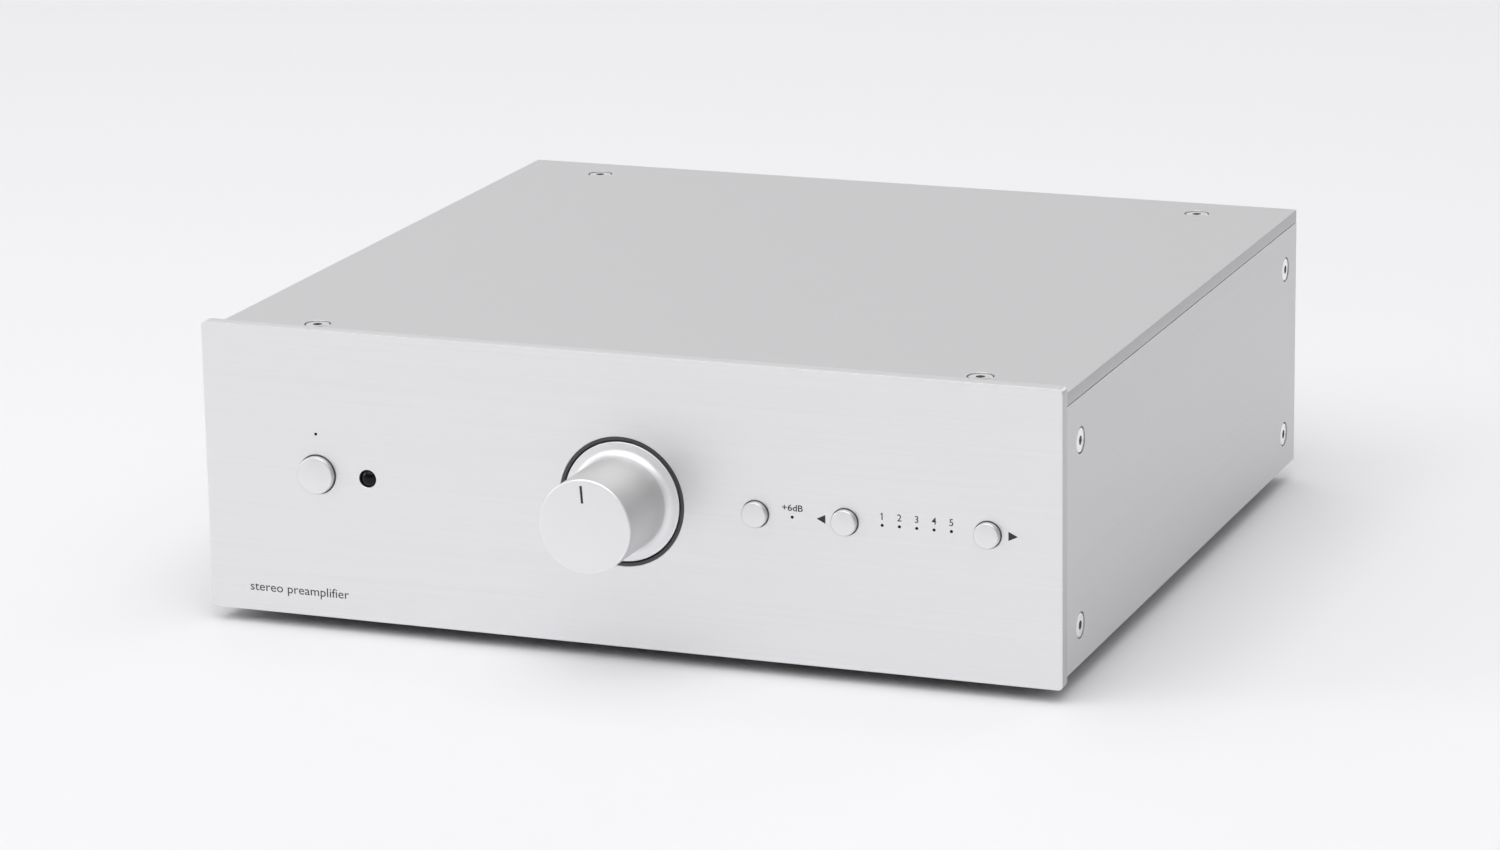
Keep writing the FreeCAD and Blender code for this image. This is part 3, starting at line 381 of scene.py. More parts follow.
# %% [markdown]
# ## Other metals, plastics and rubber
#
# The remaining finishes are simpler: a colour, a roughness, and one fine noise that keeps
# the surface from looking like a perfect mirror or a perfect matt. The noise's scale is the
# number of grains per metre.

# %% Simple finishes
def grainy(name, colour, metallic, roughness, grain, bump=0.1, **sockets):
    tree, shader = new_finish(name, colour, metallic, roughness, **sockets)
    grains = noise(tree, place_pattern(tree), grain, 3.0)
    dark = tuple(part * 0.93 for part in colour)
    light = tuple(min(1.0, part * 1.05) for part in colour)
    tree.links.new(mix_colours(tree, grains, dark, light), shader.inputs["Base Color"])
    vary_roughness(tree, shader, grains, roughness, min(0.05, roughness * 0.4))
    relief(tree, shader, grains, bump, 0.03 * MM)


grainy("stainless", shade(0.90), 1.0, 0.18, 4000)
grainy("plated_steel", (0.62, 0.62, 0.64), 1.0, 0.32, 3000)
grainy("mill_aluminium", shade(0.72), 1.0, 0.38, 1500)
grainy("motor_can", shade(0.50), 1.0, 0.35, 2500)
grainy("gold_plate", (0.86, 0.60, 0.22), 1.0, 0.20, 2500, 0.05)
grainy("black_anodised", shade(0.018), 0.0, 0.42, 6000)
grainy("black_steel", shade(0.016), 0.0, 0.55, 5000, 0.25)
grainy("black_plastic", shade(0.02), 0.0, 0.48, 4500, 0.2)
grainy("foot_rubber", shade(0.014), 0.0, 0.85, 3500, 0.3)
grainy("white_plastic", (0.82, 0.82, 0.79), 0.0, 0.35, 3000)
grainy("red_plastic", (0.55, 0.02, 0.02), 0.0, 0.35, 3000)
grainy("circuit_board", (0.012, 0.10, 0.035), 0.0, 0.38, 900, 0.15, Coat_Weight=0.3)
grainy("capacitor_sleeve", (0.02, 0.03, 0.09), 0.0, 0.3, 1800)
grainy("film_box", (0.50, 0.08, 0.04), 0.0, 0.4, 2500)
grainy("ribbon_grey", shade(0.42), 0.0, 0.6, 3000)
grainy("smoked_lens", shade(0.002), 0.0, 0.08, 2500, 0.02, Specular_IOR_Level=0.22)
grainy("ring_anodised", shade(0.035), 0.0, 0.30, 6000, Specular_IOR_Level=0.7)
# Near black on the clear light pipes: painted shade.
grainy("light_pipe_shade", shade(0.005), 0.0, 0.25, 4000, Specular_IOR_Level=0.2)
grainy("print_ink", shade(0.025), 0.0, 0.6, 9000)
print(len(finishes), "finishes so far")

# %% [markdown]
# ## Plates with holes
#
# A machined plate is an outline with a small rounded edge all the way round and holes with
# their own profiles, such as a countersink. Booleans on a thin plate leave ragged bevels, so
# this helper draws the plate the way it is milled: rings of points for the outer edge, rings
# for each hole, and one flat face filled between them on each side. Flat faces keep sharp
# borders, which stops the smooth shading of the rounded edge from bleeding across the sheet.

# %% Plate helper
def mesh_from(bm, name):
    """Close a working mesh and keep its shape."""
    mesh = bpy.data.meshes.new(name)
    bm.to_mesh(mesh)
    bm.free()
    return mesh


def rounded_rectangle(box, corner, inset=0.0, steps=8):
    """Points round a rectangle (left, low, right, high) with round corners, counter-clockwise."""
    left, bottom, right, top = box[0] + inset, box[1] + inset, box[2] - inset, box[3] - inset
    radius = max(corner - inset, 0.02 * MM)
    centres = ((right - radius, bottom + radius, -90), (right - radius, top - radius, 0),
               (left + radius, top - radius, 90), (left + radius, bottom + radius, 180))
    points = []
    for x, y, start in centres:
        for step in range(steps + 1):
            angle = math.radians(start + 90 * step / steps)
            points.append((x + radius * math.cos(angle), y + radius * math.sin(angle)))
    return points


def edge_profile(bevel, steps=4):
    """Inset and depth along a quarter-round edge, from the face to the side."""
    turns = [math.pi / 2 * step / steps for step in range(steps + 1)]
    return [(bevel * (1 - math.sin(turn)), bevel * (1 - math.cos(turn))) for turn in turns]


def hole_edge(radius, depth, bevel=0.12 * MM):
    """Profile of a plain through hole with a fine break on its front edge."""
    return [(radius + bevel, 0), (radius, bevel), (radius, depth)]


def countersink(mouth, radius, depth, bevel=0.08 * MM, wall=0.6 * MM):
    """Profile of a countersunk hole: a straight wall for the screw's rim, a cone and a bore."""
    return [(mouth + bevel, 0), (mouth, bevel), (mouth, wall), (radius, mouth - radius + wall),
            (radius, depth)]


def ring(bm, points, depth):
    return [bm.verts.new((x, y, -depth)) for x, y in points]


def skin(bm, first, second):
    """Faces between two rings of the same length."""
    for index in range(len(first)):
        after = (index + 1) % len(first)
        face = bm.faces.new((first[index], second[index], second[after], first[after]))
        face.smooth = True


def circle(x, y, radius, count):
    turns = [2 * math.pi * step / count for step in range(count)]
    return [(x + radius * math.cos(turn), y + radius * math.sin(turn)) for turn in turns]


def fill(bm, loops, upward):
    """One flat face with holes between the loops, triangulated and edged sharply."""
    edges = []
    for loop in loops:
        for index, vertex in enumerate(loop):
            after = loop[(index + 1) % len(loop)]
            edge = bm.edges.get((vertex, after)) or bm.edges.new((vertex, after))
            edge.smooth = False
            edges.append(edge)
    made = bmesh.ops.triangle_fill(bm, edges=edges, use_beauty=True, use_dissolve=False)
    for face in made["geom"]:
        if isinstance(face, bmesh.types.BMFace):
            face.smooth = False
            face.normal_update()
            if (face.normal.z > 0) != upward:
                face.normal_flip()


def crease(bm, degrees):
    """Keep every edge sharper than this angle crisp, and leave the marked borders alone."""
    bm.normal_update()
    limit = math.radians(degrees)
    for edge in bm.edges:
        if len(edge.link_faces) == 2 and edge.calc_face_angle() > limit:
            edge.smooth = False


def plate_mesh(name, box, corner, thickness, bevel, holes):
    """A plate whose front is at z = 0 and whose back is at z = -thickness."""
    bm = bmesh.new()
    profile = edge_profile(bevel)
    profile += [(inset, thickness - depth) for inset, depth in reversed(profile)]
    rings = [ring(bm, rounded_rectangle(box, corner, inset), depth) for inset, depth in profile]
    for outer, inner in zip(rings, rings[1:]):
        skin(bm, outer, inner)
    fronts, backs = [rings[0]], [rings[-1]]
    for x, y, hole, count in holes:
        bores = [ring(bm, circle(x, y, radius, count), depth) for radius, depth in hole]
        for outer, inner in zip(bores, bores[1:]):
            skin(bm, inner, outer)
        fronts.append(bores[0])
        backs.append(bores[-1])
    fill(bm, fronts, True)
    fill(bm, backs, False)
    crease(bm, 35)
    return mesh_from(bm, name)


# %% [markdown]
# ## Putting pieces into the frame
#
# A finished piece has its place in its mesh and its object at the origin, just as the CAD
# nodes do. Each piece is drawn as it is seen from outside, and a table says which way its
# drawing faces. The helper moves a mesh there, gives it a finish, lets it ride on its body
# and hides the CAD nodes it stands for.

# %% Piece helper
VIEWS = {
    # facing: (axis across, axis up, axis outwards, sign of across, sign of outwards)
    "front": (0, 2, 1, 1, -1),
    "rear": (0, 2, 1, -1, 1),
    "top": (0, 1, 2, 1, 1),
    "right": (1, 2, 0, 1, 1),
    "left": (1, 2, 0, -1, -1),
}


def turn_to(facing):
    """The turn that lays a drawing's across, up and outwards along the object's axes."""
    across, up, out, flip, side = VIEWS[facing]
    turn = Matrix.Diagonal((0, 0, 0, 1))
    turn[across][0], turn[up][1], turn[out][2] = flip, 1, side
    return turn


def dress(mesh, finish):
    mesh.materials.clear()
    mesh.materials.append(finishes[finish])


def piece(name, mesh, finish, body="case", stands_for=(), facing="top", at=(0, 0, 0)):
    mesh.transform(Matrix.Translation(Vector(at)) @ turn_to(facing))
    dress(mesh, finish)
    thing = add_object(name, mesh)
    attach(thing, body)
    if stands_for:
        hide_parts(*stands_for)
    return thing


# %% [markdown]
# ## The front panel
#
# A thick sheet of aluminium, standing a little proud of the body on every side. Its
# holes are the knob's opening, four button holes, the infrared window and seven pinholes for
# the lights. The places come from the CAD nodes that sit in them.

# %% Front panel
POWER_HOLE, SMALL_HOLE = 4.63 * MM, 3.13 * MM
BUTTON_HOLES = {"power": POWER_HOLE, "gain": SMALL_HOLE, "input_down": SMALL_HOLE,
                "input_up": SMALL_HOLE}
WINDOW_HOLE, LIGHT_HOLE = 2.1 * MM, 0.36 * MM
WINDOW_BREAK, LIGHT_BREAK = 0.06 * MM, 0.03 * MM
PANEL_CORNER, PANEL_EDGE = 1.1 * MM, 0.05 * MM
RING_RADIUS = (high("knob_ring").x - low("knob_ring").x) / 2
KNOB_OPENING = RING_RADIUS + 0.02 * MM


def separate_solids(node):
    """Middle points of a node's separate solids, left to right."""
    bm = bmesh.new()
    bm.from_mesh(nodes[node].data)
    bmesh.ops.remove_doubles(bm, verts=bm.verts, dist=1e-6)
    left, spots = set(bm.verts), []
    while left:
        stack = [left.pop()]
        found = list(stack)
        while stack:
            for edge in stack.pop().link_edges:
                for vertex in edge.verts:
                    if vertex in left:
                        left.remove(vertex)
                        stack.append(vertex)
                        found.append(vertex)
        lowest = [min(vertex.co[axis] for vertex in found) for axis in range(3)]
        highest = [max(vertex.co[axis] for vertex in found) for axis in range(3)]
        spots.append((Vector(lowest) + Vector(highest)) / 2)
    bm.free()
    return sorted(spots, key=lambda spot: (round(spot.x, 5), round(spot.z, 5), spot.y))


LIGHTS = separate_solids("light_pipes")


def case_plate(name, node, finish, facing, corner, edge, thickness, holes, lower=0):
    """A plate as it is seen from outside, put in place of its CAD node."""
    across, up, out, flip, side = VIEWS[facing]
    lowest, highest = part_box(node)
    ends = sorted((flip * lowest[across], flip * highest[across]))
    box = (ends[0], lowest[up], ends[1], highest[up] - lower)
    mesh = plate_mesh(name, box, corner, thickness, edge, holes)
    at = Vector((0, 0, 0))
    at[out] = (highest if side > 0 else lowest)[out]
    return piece(name, mesh, finish, stands_for=[node], facing=facing, at=at)


def front_holes():
    holes = [(0, LINE_Z, hole_edge(KNOB_OPENING, PANEL_THICK), 128)]
    for name, radius in BUTTON_HOLES.items():
        x = middle(name + "_button").x
        holes.append((x, LINE_Z, hole_edge(radius, PANEL_THICK), 64))
    window = hole_edge(WINDOW_HOLE, PANEL_THICK, WINDOW_BREAK)
    holes.append((middle("infrared_window").x, LINE_Z, window, 48))
    for light in LIGHTS:
        holes.append((light.x, light.z, hole_edge(LIGHT_HOLE, PANEL_THICK, LIGHT_BREAK), 16))
    return holes


plate = case_plate("front_plate", "front_panel", "front_anodised", "front", PANEL_CORNER,
                   PANEL_EDGE, PANEL_THICK, front_holes())
print("front panel has", len(plate.data.polygons), "faces and", len(LIGHTS), "lights")

# %% [markdown]
# ## The cover and the side plates
#
# They are milled plates too, with countersunk holes for M3 screws. The screws are already in
# the CAD model, so each hole goes where a screw's middle is. The cover and the side plates
# stop just short of each other, because real plates leave a fine dark seam there.

# %% Case plates
SINK_MOUTH, SCREW_HOLE = 3.06 * MM, 1.6 * MM
COVER_CORNER, WALL_CORNER, PLATE_EDGE = 0.4 * MM, 0.2 * MM, 0.12 * MM
COVER_LIFT, WALL_DROP = 0.1 * MM, 0.05 * MM  # each plate's share of the seam
NEAR = 3 * MM  # a screw's middle is no deeper than this behind its plate
SCREWS = separate_solids("case_screws")
SCREW_FACES = {
    "top": [spot for spot in SCREWS if spot.z > low("top_cover").z - NEAR],
    "right": [spot for spot in SCREWS if spot.x > low("right_side_panel").x - NEAR],
    "left": [spot for spot in SCREWS if spot.x < high("left_side_panel").x + NEAR],
    "rear": [spot for spot in SCREWS if spot.y > low("rear_panel").y - NEAR],
}


def sinks(facing, thickness):
    """Countersunk holes at a plate's screws."""
    across, up, out, flip, side = VIEWS[facing]
    profile = countersink(SINK_MOUTH, SCREW_HOLE, thickness)
    return [(flip * spot[across], spot[up], profile, 48) for spot in SCREW_FACES[facing]]


COVER_THICK = high("top_cover").z - low("top_cover").z - COVER_LIFT
case_plate("cover_plate", "top_cover", "cover_anodised", "top", COVER_CORNER, PLATE_EDGE,
           COVER_THICK, sinks("top", COVER_THICK))
for side in ("left", "right"):
    case_plate(side + "_plate", side + "_side_panel", "side_anodised", side, WALL_CORNER,
               PLATE_EDGE / 2, WALL_THICK, sinks(side, WALL_THICK), WALL_DROP)
print("countersinks:", {face: len(spots) for face, spots in SCREW_FACES.items()})

# %% [markdown]
# ## The rear panel
#
# The rear panel has an opening for every socket and countersunk holes for its screws.

# %% Rear panel
SOCKETS = separate_solids("rca_shells")
ROWS = sorted({round(spot.z, 5) for spot in SOCKETS})
COLUMNS = sorted({round(spot.x, 5) for spot in SOCKETS})
TRIGGER, INLET = middle("trigger_socket"), middle("power_inlet")
REAR_HOLES = [(spot, 4.3 * MM) for spot in SOCKETS] + [(TRIGGER, 3.9 * MM), (INLET, 4.4 * MM)]
REAR_THICK = REAR_FACE - low("rear_panel").y
holes = sinks("rear", REAR_THICK)
holes += [(-spot.x, spot.z, hole_edge(radius, REAR_THICK), 48) for spot, radius in REAR_HOLES]
plate = case_plate("rear_plate", "rear_panel", "rear_anodised", "rear", WALL_CORNER,
                   PLATE_EDGE / 2, REAR_THICK, holes)
print("rear panel has", len(plate.data.polygons), "faces for", len(SOCKETS), "sockets")

# %% [markdown]
# ## Turned shapes
#
# Knob, buttons, ring, feet and sockets are all shapes of revolution. A profile is a list of
# corners, each a radius and a height, and a corner may be rounded. The helper walks the
# profile round the axis and joins the rings, and closes an end that reaches the axis with a
# single point.

# %% Lathe helper
SHARP = math.radians(30)


def soften(corners, steps=5):
    """Replace each (radius, height, rounding) corner by an arc tangent to its two sides."""
    path = []
    for index, corner in enumerate(corners):
        here = Vector(corner[:2])
        rounding = corner[2] if len(corner) > 2 else 0
        if not rounding:
            path.append(here)
            continue
        before = (Vector(corners[index - 1][:2]) - here).normalized()
        after = (Vector(corners[(index + 1) % len(corners)][:2]) - here).normalized()
        half = before.angle(after) / 2
        start = here + before * rounding / math.tan(half)
        end = here + after * rounding / math.tan(half)
        centre = here + (before + after).normalized() * rounding / math.sin(half)
        sweep = (start - centre).angle_signed(end - centre)
        for step in range(steps + 1):
            turn = Matrix.Rotation(-sweep * step / steps, 2)
            path.append(centre + turn @ (start - centre))
    return path


def lathe_mesh(name, corners, count=64, closed=False, steps=5):
    """Turn a profile about Z. A closed profile is a ring section that never meets the axis."""
    bm = bmesh.new()
    path = soften(corners, steps)
    loops = []
    for radius, height in path:
        if radius < 1e-7:
            loops.append([bm.verts.new((0, 0, height))])
        else:
            loops.append([bm.verts.new((x, y, height)) for x, y in circle(0, 0, radius, count)])
    pairs = list(zip(loops, loops[1:]))
    if closed:
        pairs.append((loops[-1], loops[0]))
    for first, second in pairs:
        for index in range(count):
            after = (index + 1) % count
            around = (first[index % len(first)], first[after % len(first)],
                      second[after % len(second)], second[index % len(second)])
            bm.faces.new(list(dict.fromkeys(around))).smooth = True
    bmesh.ops.recalc_face_normals(bm, faces=bm.faces)
    mesh = mesh_from(bm, name)
    mesh.set_sharp_from_angle(angle=SHARP)
    return mesh


# %% [markdown]
# ## The volume knob
#
# One solid piece: a long cylinder, a small fillet that catches the light where it meets the
# flange, and the flange, which lies level with the panel inside a black ring. The engraved
# line is a slot filled with black paint. The slot is cut by a boolean, because a sharp slot
# in a flat face is what a boolean does well. The knob was clamped to its shaft a few degrees
# off, as knobs are, so the line stands just past twelve o'clock.

# %% Volume knob
knob_low, knob_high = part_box("volume_knob")
KNOB_REACH = FACE_Y - knob_low.y
FLANGE = (knob_high.x - knob_low.x) / 2
KNOB_RADIUS, KNOB_BACK = 10.85 * MM, FACE_Y - knob_high.y
KNOB_ROUND, KNOB_FILLET, FLANGE_ROUND = 0.45 * MM, 1.8 * MM, 0.25 * MM
FLANGE_THICK, HUB_RADIUS = 2.6 * MM, 8 * MM
SHAFT_HOLE, SHAFT_DEEP = 3.03 * MM, 14 * MM
POINTER = (0.58 * MM, 5.4 * MM, 9.4 * MM, 0.2 * MM)  # width, inner and outer end, depth
POINTER_TURN = Matrix.Rotation(math.radians(4), 4, "Z")
KNOB_PLACE = (middle("volume_knob").x, FACE_Y, LINE_Z)
# The knob's darker side tone is painted shade.
turned_metal("knob_anodised", (KNOB_PLACE[0], 0, LINE_Z), tone=0.90, shaded_side_tone=0.69,
             roughness=0.52)


def block_mesh(name, lowest, highest):
    bm = bmesh.new()
    bmesh.ops.create_cube(bm, size=1.0)
    size = Vector(highest) - Vector(lowest)
    bmesh.ops.scale(bm, vec=size, verts=bm.verts)
    bmesh.ops.translate(bm, vec=(Vector(highest) + Vector(lowest)) / 2, verts=bm.verts)
    return mesh_from(bm, name)


def settle(thing, *helpers):
    """An object's evaluated shape as a plain mesh; the object and its helpers are removed."""
    graph = bpy.context.evaluated_depsgraph_get()
    mesh = bpy.data.meshes.new_from_object(thing.evaluated_get(graph))
    for used in (thing, *helpers):
        bpy.data.objects.remove(used)
    return mesh


def carve(mesh, cutter):
    """Cut one mesh out of another and return the plain result."""
    target, tool = add_object("carve_target", mesh), add_object("carve_tool", cutter)
    cut = target.modifiers.new("cut", "BOOLEAN")
    cut.operation = "DIFFERENCE"
    cut.solver = "EXACT"
    cut.object = tool
    result = settle(target, tool)
    result.set_sharp_from_angle(angle=SHARP)
    return result


def volume_knob():
    corners = [(0, KNOB_REACH), (KNOB_RADIUS, KNOB_REACH, KNOB_ROUND),
               (KNOB_RADIUS, 0, KNOB_FILLET), (FLANGE, 0, FLANGE_ROUND),
               (FLANGE, -FLANGE_THICK), (HUB_RADIUS, -FLANGE_THICK), (HUB_RADIUS, KNOB_BACK),
               (SHAFT_HOLE, KNOB_BACK), (SHAFT_HOLE, KNOB_BACK + SHAFT_DEEP),
               (0, KNOB_BACK + SHAFT_DEEP)]
    mesh = lathe_mesh("knob_turned", corners, 160, steps=8)
    wide, inner, outer, deep = POINTER
    slot = block_mesh("pointer_slot", (-wide / 2, inner, KNOB_REACH - deep),
                      (wide / 2, outer, KNOB_REACH + deep))
    slot.transform(POINTER_TURN)
    return carve(mesh, slot)


def pointer_paint():
    """Black paint that fills the slot to just under the face."""
    wide, inner, outer, deep = POINTER
    gap = 0.01 * MM
    paint = block_mesh("pointer_paint", (-wide / 2 + gap, inner + gap, KNOB_REACH - deep),
                       (wide / 2 - gap, outer - gap, KNOB_REACH - deep / 8))
    paint.transform(POINTER_TURN)
    return paint


piece("knob", volume_knob(), "knob_anodised", "volume_control",
      ["volume_knob"], "front", KNOB_PLACE)
piece("knob_pointer", pointer_paint(), "print_ink", "volume_control",
      (), "front", KNOB_PLACE)
print("knob stands", round(KNOB_REACH / MM, 1), "mm out of the panel")

# %% [markdown]
# ## The black ring
#
# A thin anodised sleeve lines the knob's opening. Only its front edge shows, as a fine dark
# circle round the flange.

# %% Knob ring
def knob_ring():
    inner, front, back, rounding = 14.15 * MM, -0.05 * MM, -PANEL_THICK, 0.08 * MM
    corners = [(inner, front, rounding), (RING_RADIUS, front, rounding), (RING_RADIUS, back),
               (inner, back)]
    mesh = lathe_mesh("ring_turned", corners, 128, closed=True, steps=3)
    return piece("ring", mesh, "ring_anodised", stands_for=["knob_ring"],
                 facing="front", at=KNOB_PLACE)


print("ring has", len(knob_ring().data.polygons), "faces")

# %% [markdown]
# ## The buttons
#
# Each cap is turned with a finely rounded rim. Behind the panel it has a collar, which keeps
# it from falling out, and a stem that presses the switch. Each gets its own copy of the
# turned finish, centred on its own axis.

# %% Buttons
COLLAR_PROUD, COLLAR_FRONT, COLLAR_BACK = 1.1 * MM, -PANEL_THICK - 0.2 * MM, -5.2 * MM
CAP_ROUND, STEM_RADIUS = 0.4 * MM, 1.9 * MM


def button(name):
    node = name + "_button"
    lowest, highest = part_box(node)
    x = (lowest.x + highest.x) / 2
    collar = (highest.x - lowest.x) / 2
    cap = collar - COLLAR_PROUD
    reach, back = FACE_Y - lowest.y, FACE_Y - highest.y
    corners = [(0, reach), (cap, reach, CAP_ROUND), (cap, COLLAR_FRONT),
               (collar, COLLAR_FRONT), (collar, COLLAR_BACK), (STEM_RADIUS, COLLAR_BACK),
               (STEM_RADIUS, back), (0, back)]
    finish = name + "_anodised"
    # The darker tone on the cap's side and rim is painted shade, which dulls the highlight on the
    # rim.
    turned_metal(finish, (x, 0, LINE_Z), tone=0.875, shaded_side_tone=0.66, roughness=0.45,
                 turn=(0.8, 0.98))
    mesh = lathe_mesh(name + "_turned", corners, 96)
    piece(name + "_cap", mesh, finish, name + "_key", [node], "front",
          (x, FACE_Y, LINE_Z))


for name in BUTTON_HOLES:
    button(name)
print("made", len(BUTTON_HOLES), "buttons")

# %% [markdown]
# ## The infrared window
#
# A polished dark lens with a shallow dome. Smooth shading and a low roughness give it the
# small highlight that tells glass from a hole.

# %% Infrared window
def infrared_window():
    place = (middle("infrared_window").x, FACE_Y, LINE_Z)
    radius, lip = 2.05 * MM, 3.0 * MM
    top, widest, steps = 0.25 * MM, math.radians(50), 10
    ball = radius / math.sin(widest)
    angles = [widest * step / steps for step in range(steps + 1)]
    dome = [(ball * math.sin(angle), top - ball * (1 - math.cos(angle))) for angle in angles]
    shoulder, back = -PANEL_THICK - 0.05 * MM, -PANEL_THICK - 1.0 * MM
    corners = dome + [(radius, shoulder), (lip, shoulder), (lip, back), (0, back)]
    mesh = lathe_mesh("window_turned", corners, 64)
    return piece("window_lens", mesh, "smoked_lens",
                 stands_for=["infrared_window"], facing="front", at=place)


print("window has", len(infrared_window().data.polygons), "faces")

# %% [markdown]
# ## Instancing with Geometry Nodes
#
# Screws, feet, light pipes and sockets repeat, so one tree puts copies of a master piece on
# points. Each point carries the direction its copy faces, and a seeded random turn about
# that direction, because nobody tightens every screw to the same angle. The tree ends in
# Realize Instances and Set Material, and the result becomes one plain mesh.

# %% Scatter tree
def scatter_tree():
    tree = bpy.data.node_groups.new("copies_on_points", "GeometryNodeTree")
    sockets = (("Points", "NodeSocketGeometry"), ("Master", "NodeSocketObject"),
               ("Largest turn", "NodeSocketFloat"), ("Seed", "NodeSocketInt"),
               ("Finish", "NodeSocketMaterial"))
    for label, kind in sockets:
        tree.interface.new_socket(name=label, in_out="INPUT", socket_type=kind)
    tree.interface.new_socket(name="Copies", in_out="OUTPUT", socket_type="NodeSocketGeometry")
    new, link = tree.nodes.new, tree.links.new
    inputs, outputs = new("NodeGroupInput"), new("NodeGroupOutput")
    master = new("GeometryNodeObjectInfo")
    link(inputs.outputs["Master"], master.inputs["Object"])
    facing = new("GeometryNodeInputNamedAttribute")
    facing.data_type = "FLOAT_VECTOR"
    facing.inputs["Name"].default_value = "facing"
    align = new("FunctionNodeAlignRotationToVector")
    align.axis = "Z"
    link(facing.outputs["Attribute"], align.inputs["Vector"])
    chance = new("FunctionNodeRandomValue")
    chance.data_type = "FLOAT"
    link(inputs.outputs["Largest turn"], chance.inputs[3])
    link(inputs.outputs["Seed"], chance.inputs["Seed"])
    spin = new("FunctionNodeAxisAngleToRotation")
    spin.inputs["Axis"].default_value = (0, 0, 1)
    link(chance.outputs[1], spin.inputs["Angle"])
    turn = new("FunctionNodeRotateRotation")
    turn.rotation_space = "LOCAL"
    link(align.outputs["Rotation"], turn.inputs["Rotation"])
    link(spin.outputs["Rotation"], turn.inputs["Rotate By"])
    copies = new("GeometryNodeInstanceOnPoints")
    link(inputs.outputs["Points"], copies.inputs["Points"])
    link(master.outputs["Geometry"], copies.inputs["Instance"])
    link(turn.outputs["Rotation"], copies.inputs["Rotation"])
    real = new("GeometryNodeRealizeInstances")
    finish = new("GeometryNodeSetMaterial")
    link(copies.outputs["Instances"], real.inputs["Geometry"])
    link(real.outputs["Geometry"], finish.inputs["Geometry"])
    link(inputs.outputs["Finish"], finish.inputs["Material"])
    link(finish.outputs["Geometry"], outputs.inputs["Copies"])
    return tree


SCATTER = scatter_tree()
SOCKET_IDS = {item.name: item.identifier for item in SCATTER.interface.items_tree}
print("scatter tree has", len(SCATTER.nodes), "nodes")

# %% [markdown]
# ## Using the tree
#
# The points are the vertices of a small mesh with a vector attribute for the direction. The
# modifier's inputs are set by identifier, the evaluated mesh is copied out, and the helper
# objects are removed.

# %% Scatter helper
def copies_mesh(name, master, spots, finish, turn=0.0, seed=1):
    """Copies of a master mesh at (place, direction) spots, as one plain mesh."""
    points = bpy.data.meshes.new(name + "_points")
    points.from_pydata([place for place, facing in spots], [], [])
    directions = points.attributes.new("facing", "FLOAT_VECTOR", "POINT")
    for index, (place, facing) in enumerate(spots):
        directions.data[index].vector = facing
    holder, model = add_object(name + "_holder", points), add_object(name + "_master", master)
    scatter = holder.modifiers.new("scatter", "NODES")
    scatter.node_group = SCATTER
    scatter[SOCKET_IDS["Master"]] = model
    scatter[SOCKET_IDS["Largest turn"]] = turn
    scatter[SOCKET_IDS["Seed"]] = seed
    scatter[SOCKET_IDS["Finish"]] = finishes[finish]
    return settle(holder, model)


# %% [markdown]
# ## The case screws
#
# Countersunk stainless screws with a hexagon socket. The master is a turned head and shank
# with the socket's six walls cut down from its face; the head has a fine rounded rim, which
# makes the bright circle that a polished screw shows. A black plug a little below the face
# is painted shade: it keeps each socket dark, because a socket that deep shows almost no
# light.

# %% Case screws
HEAD_RADIUS, HEAD_RIM, HEAD_DEEP, HEAD_ROUND = 2.75 * MM, 0.3 * MM, 1.4 * MM, 0.12 * MM
SHANK_RADIUS, SCREW_LONG, SINK = 1.5 * MM, 9.6 * MM, 0.12 * MM
KEY_CORNER, KEY_DEEP = 1.0 * MM / math.cos(math.pi / 6), 1.2 * MM
PLUG_TOP, PLUG_BOTTOM = -0.35 * MM, -0.6 * MM


def hexagon_cutter():
    above, point = MM, KEY_DEEP + 0.4 * MM
    corners = [(0, above), (KEY_CORNER, above), (KEY_CORNER, -KEY_DEEP), (0, -point)]
    return lathe_mesh("hexagon_cutter", corners, 6)


def case_screw():
    corners = [(0, 0), (HEAD_RADIUS, 0, HEAD_ROUND), (HEAD_RADIUS, -HEAD_RIM),
               (SHANK_RADIUS, -HEAD_DEEP), (SHANK_RADIUS, -SCREW_LONG), (0, -SCREW_LONG)]
    return carve(lathe_mesh("screw_turned", corners, 48, steps=3), hexagon_cutter())


# Painted shade: a dark plug low in each hexagon socket.
def socket_plug():
    corner = 0.97 * KEY_CORNER
    corners = [(0, PLUG_TOP), (corner, PLUG_TOP, 0.05 * MM), (corner, PLUG_BOTTOM),
               (0, PLUG_BOTTOM)]
    return lathe_mesh("socket_plug", corners, 6)


def case_screws():
    faces = (("top", 2, COVER_TOP, (0, 0, 1)), ("right", 0, high("right_side_panel").x, (1, 0, 0)),
             ("left", 0, low("left_side_panel").x, (-1, 0, 0)), ("rear", 1, REAR_FACE, (0, 1, 0)))
    spots = []
    for face, axis, level, facing in faces:
        for spot in SCREW_FACES[face]:
            place = spot.copy()
            place[axis] = level - facing[axis] * SINK
            spots.append((place, facing))
    turn, seed = math.radians(60), 3
    mesh = copies_mesh("case_screws", case_screw(), spots, "stainless", turn, seed)
    piece("case_screw_set", mesh, "stainless", stands_for=["case_screws"])
    # The dark plugs are painted shade in the sockets.
    plugs = copies_mesh("socket_plugs", socket_plug(), spots, "black_steel", turn, seed)
    piece("case_screw_sockets", plugs, "black_steel")
    return len(spots)


print("case screws:", case_screws())
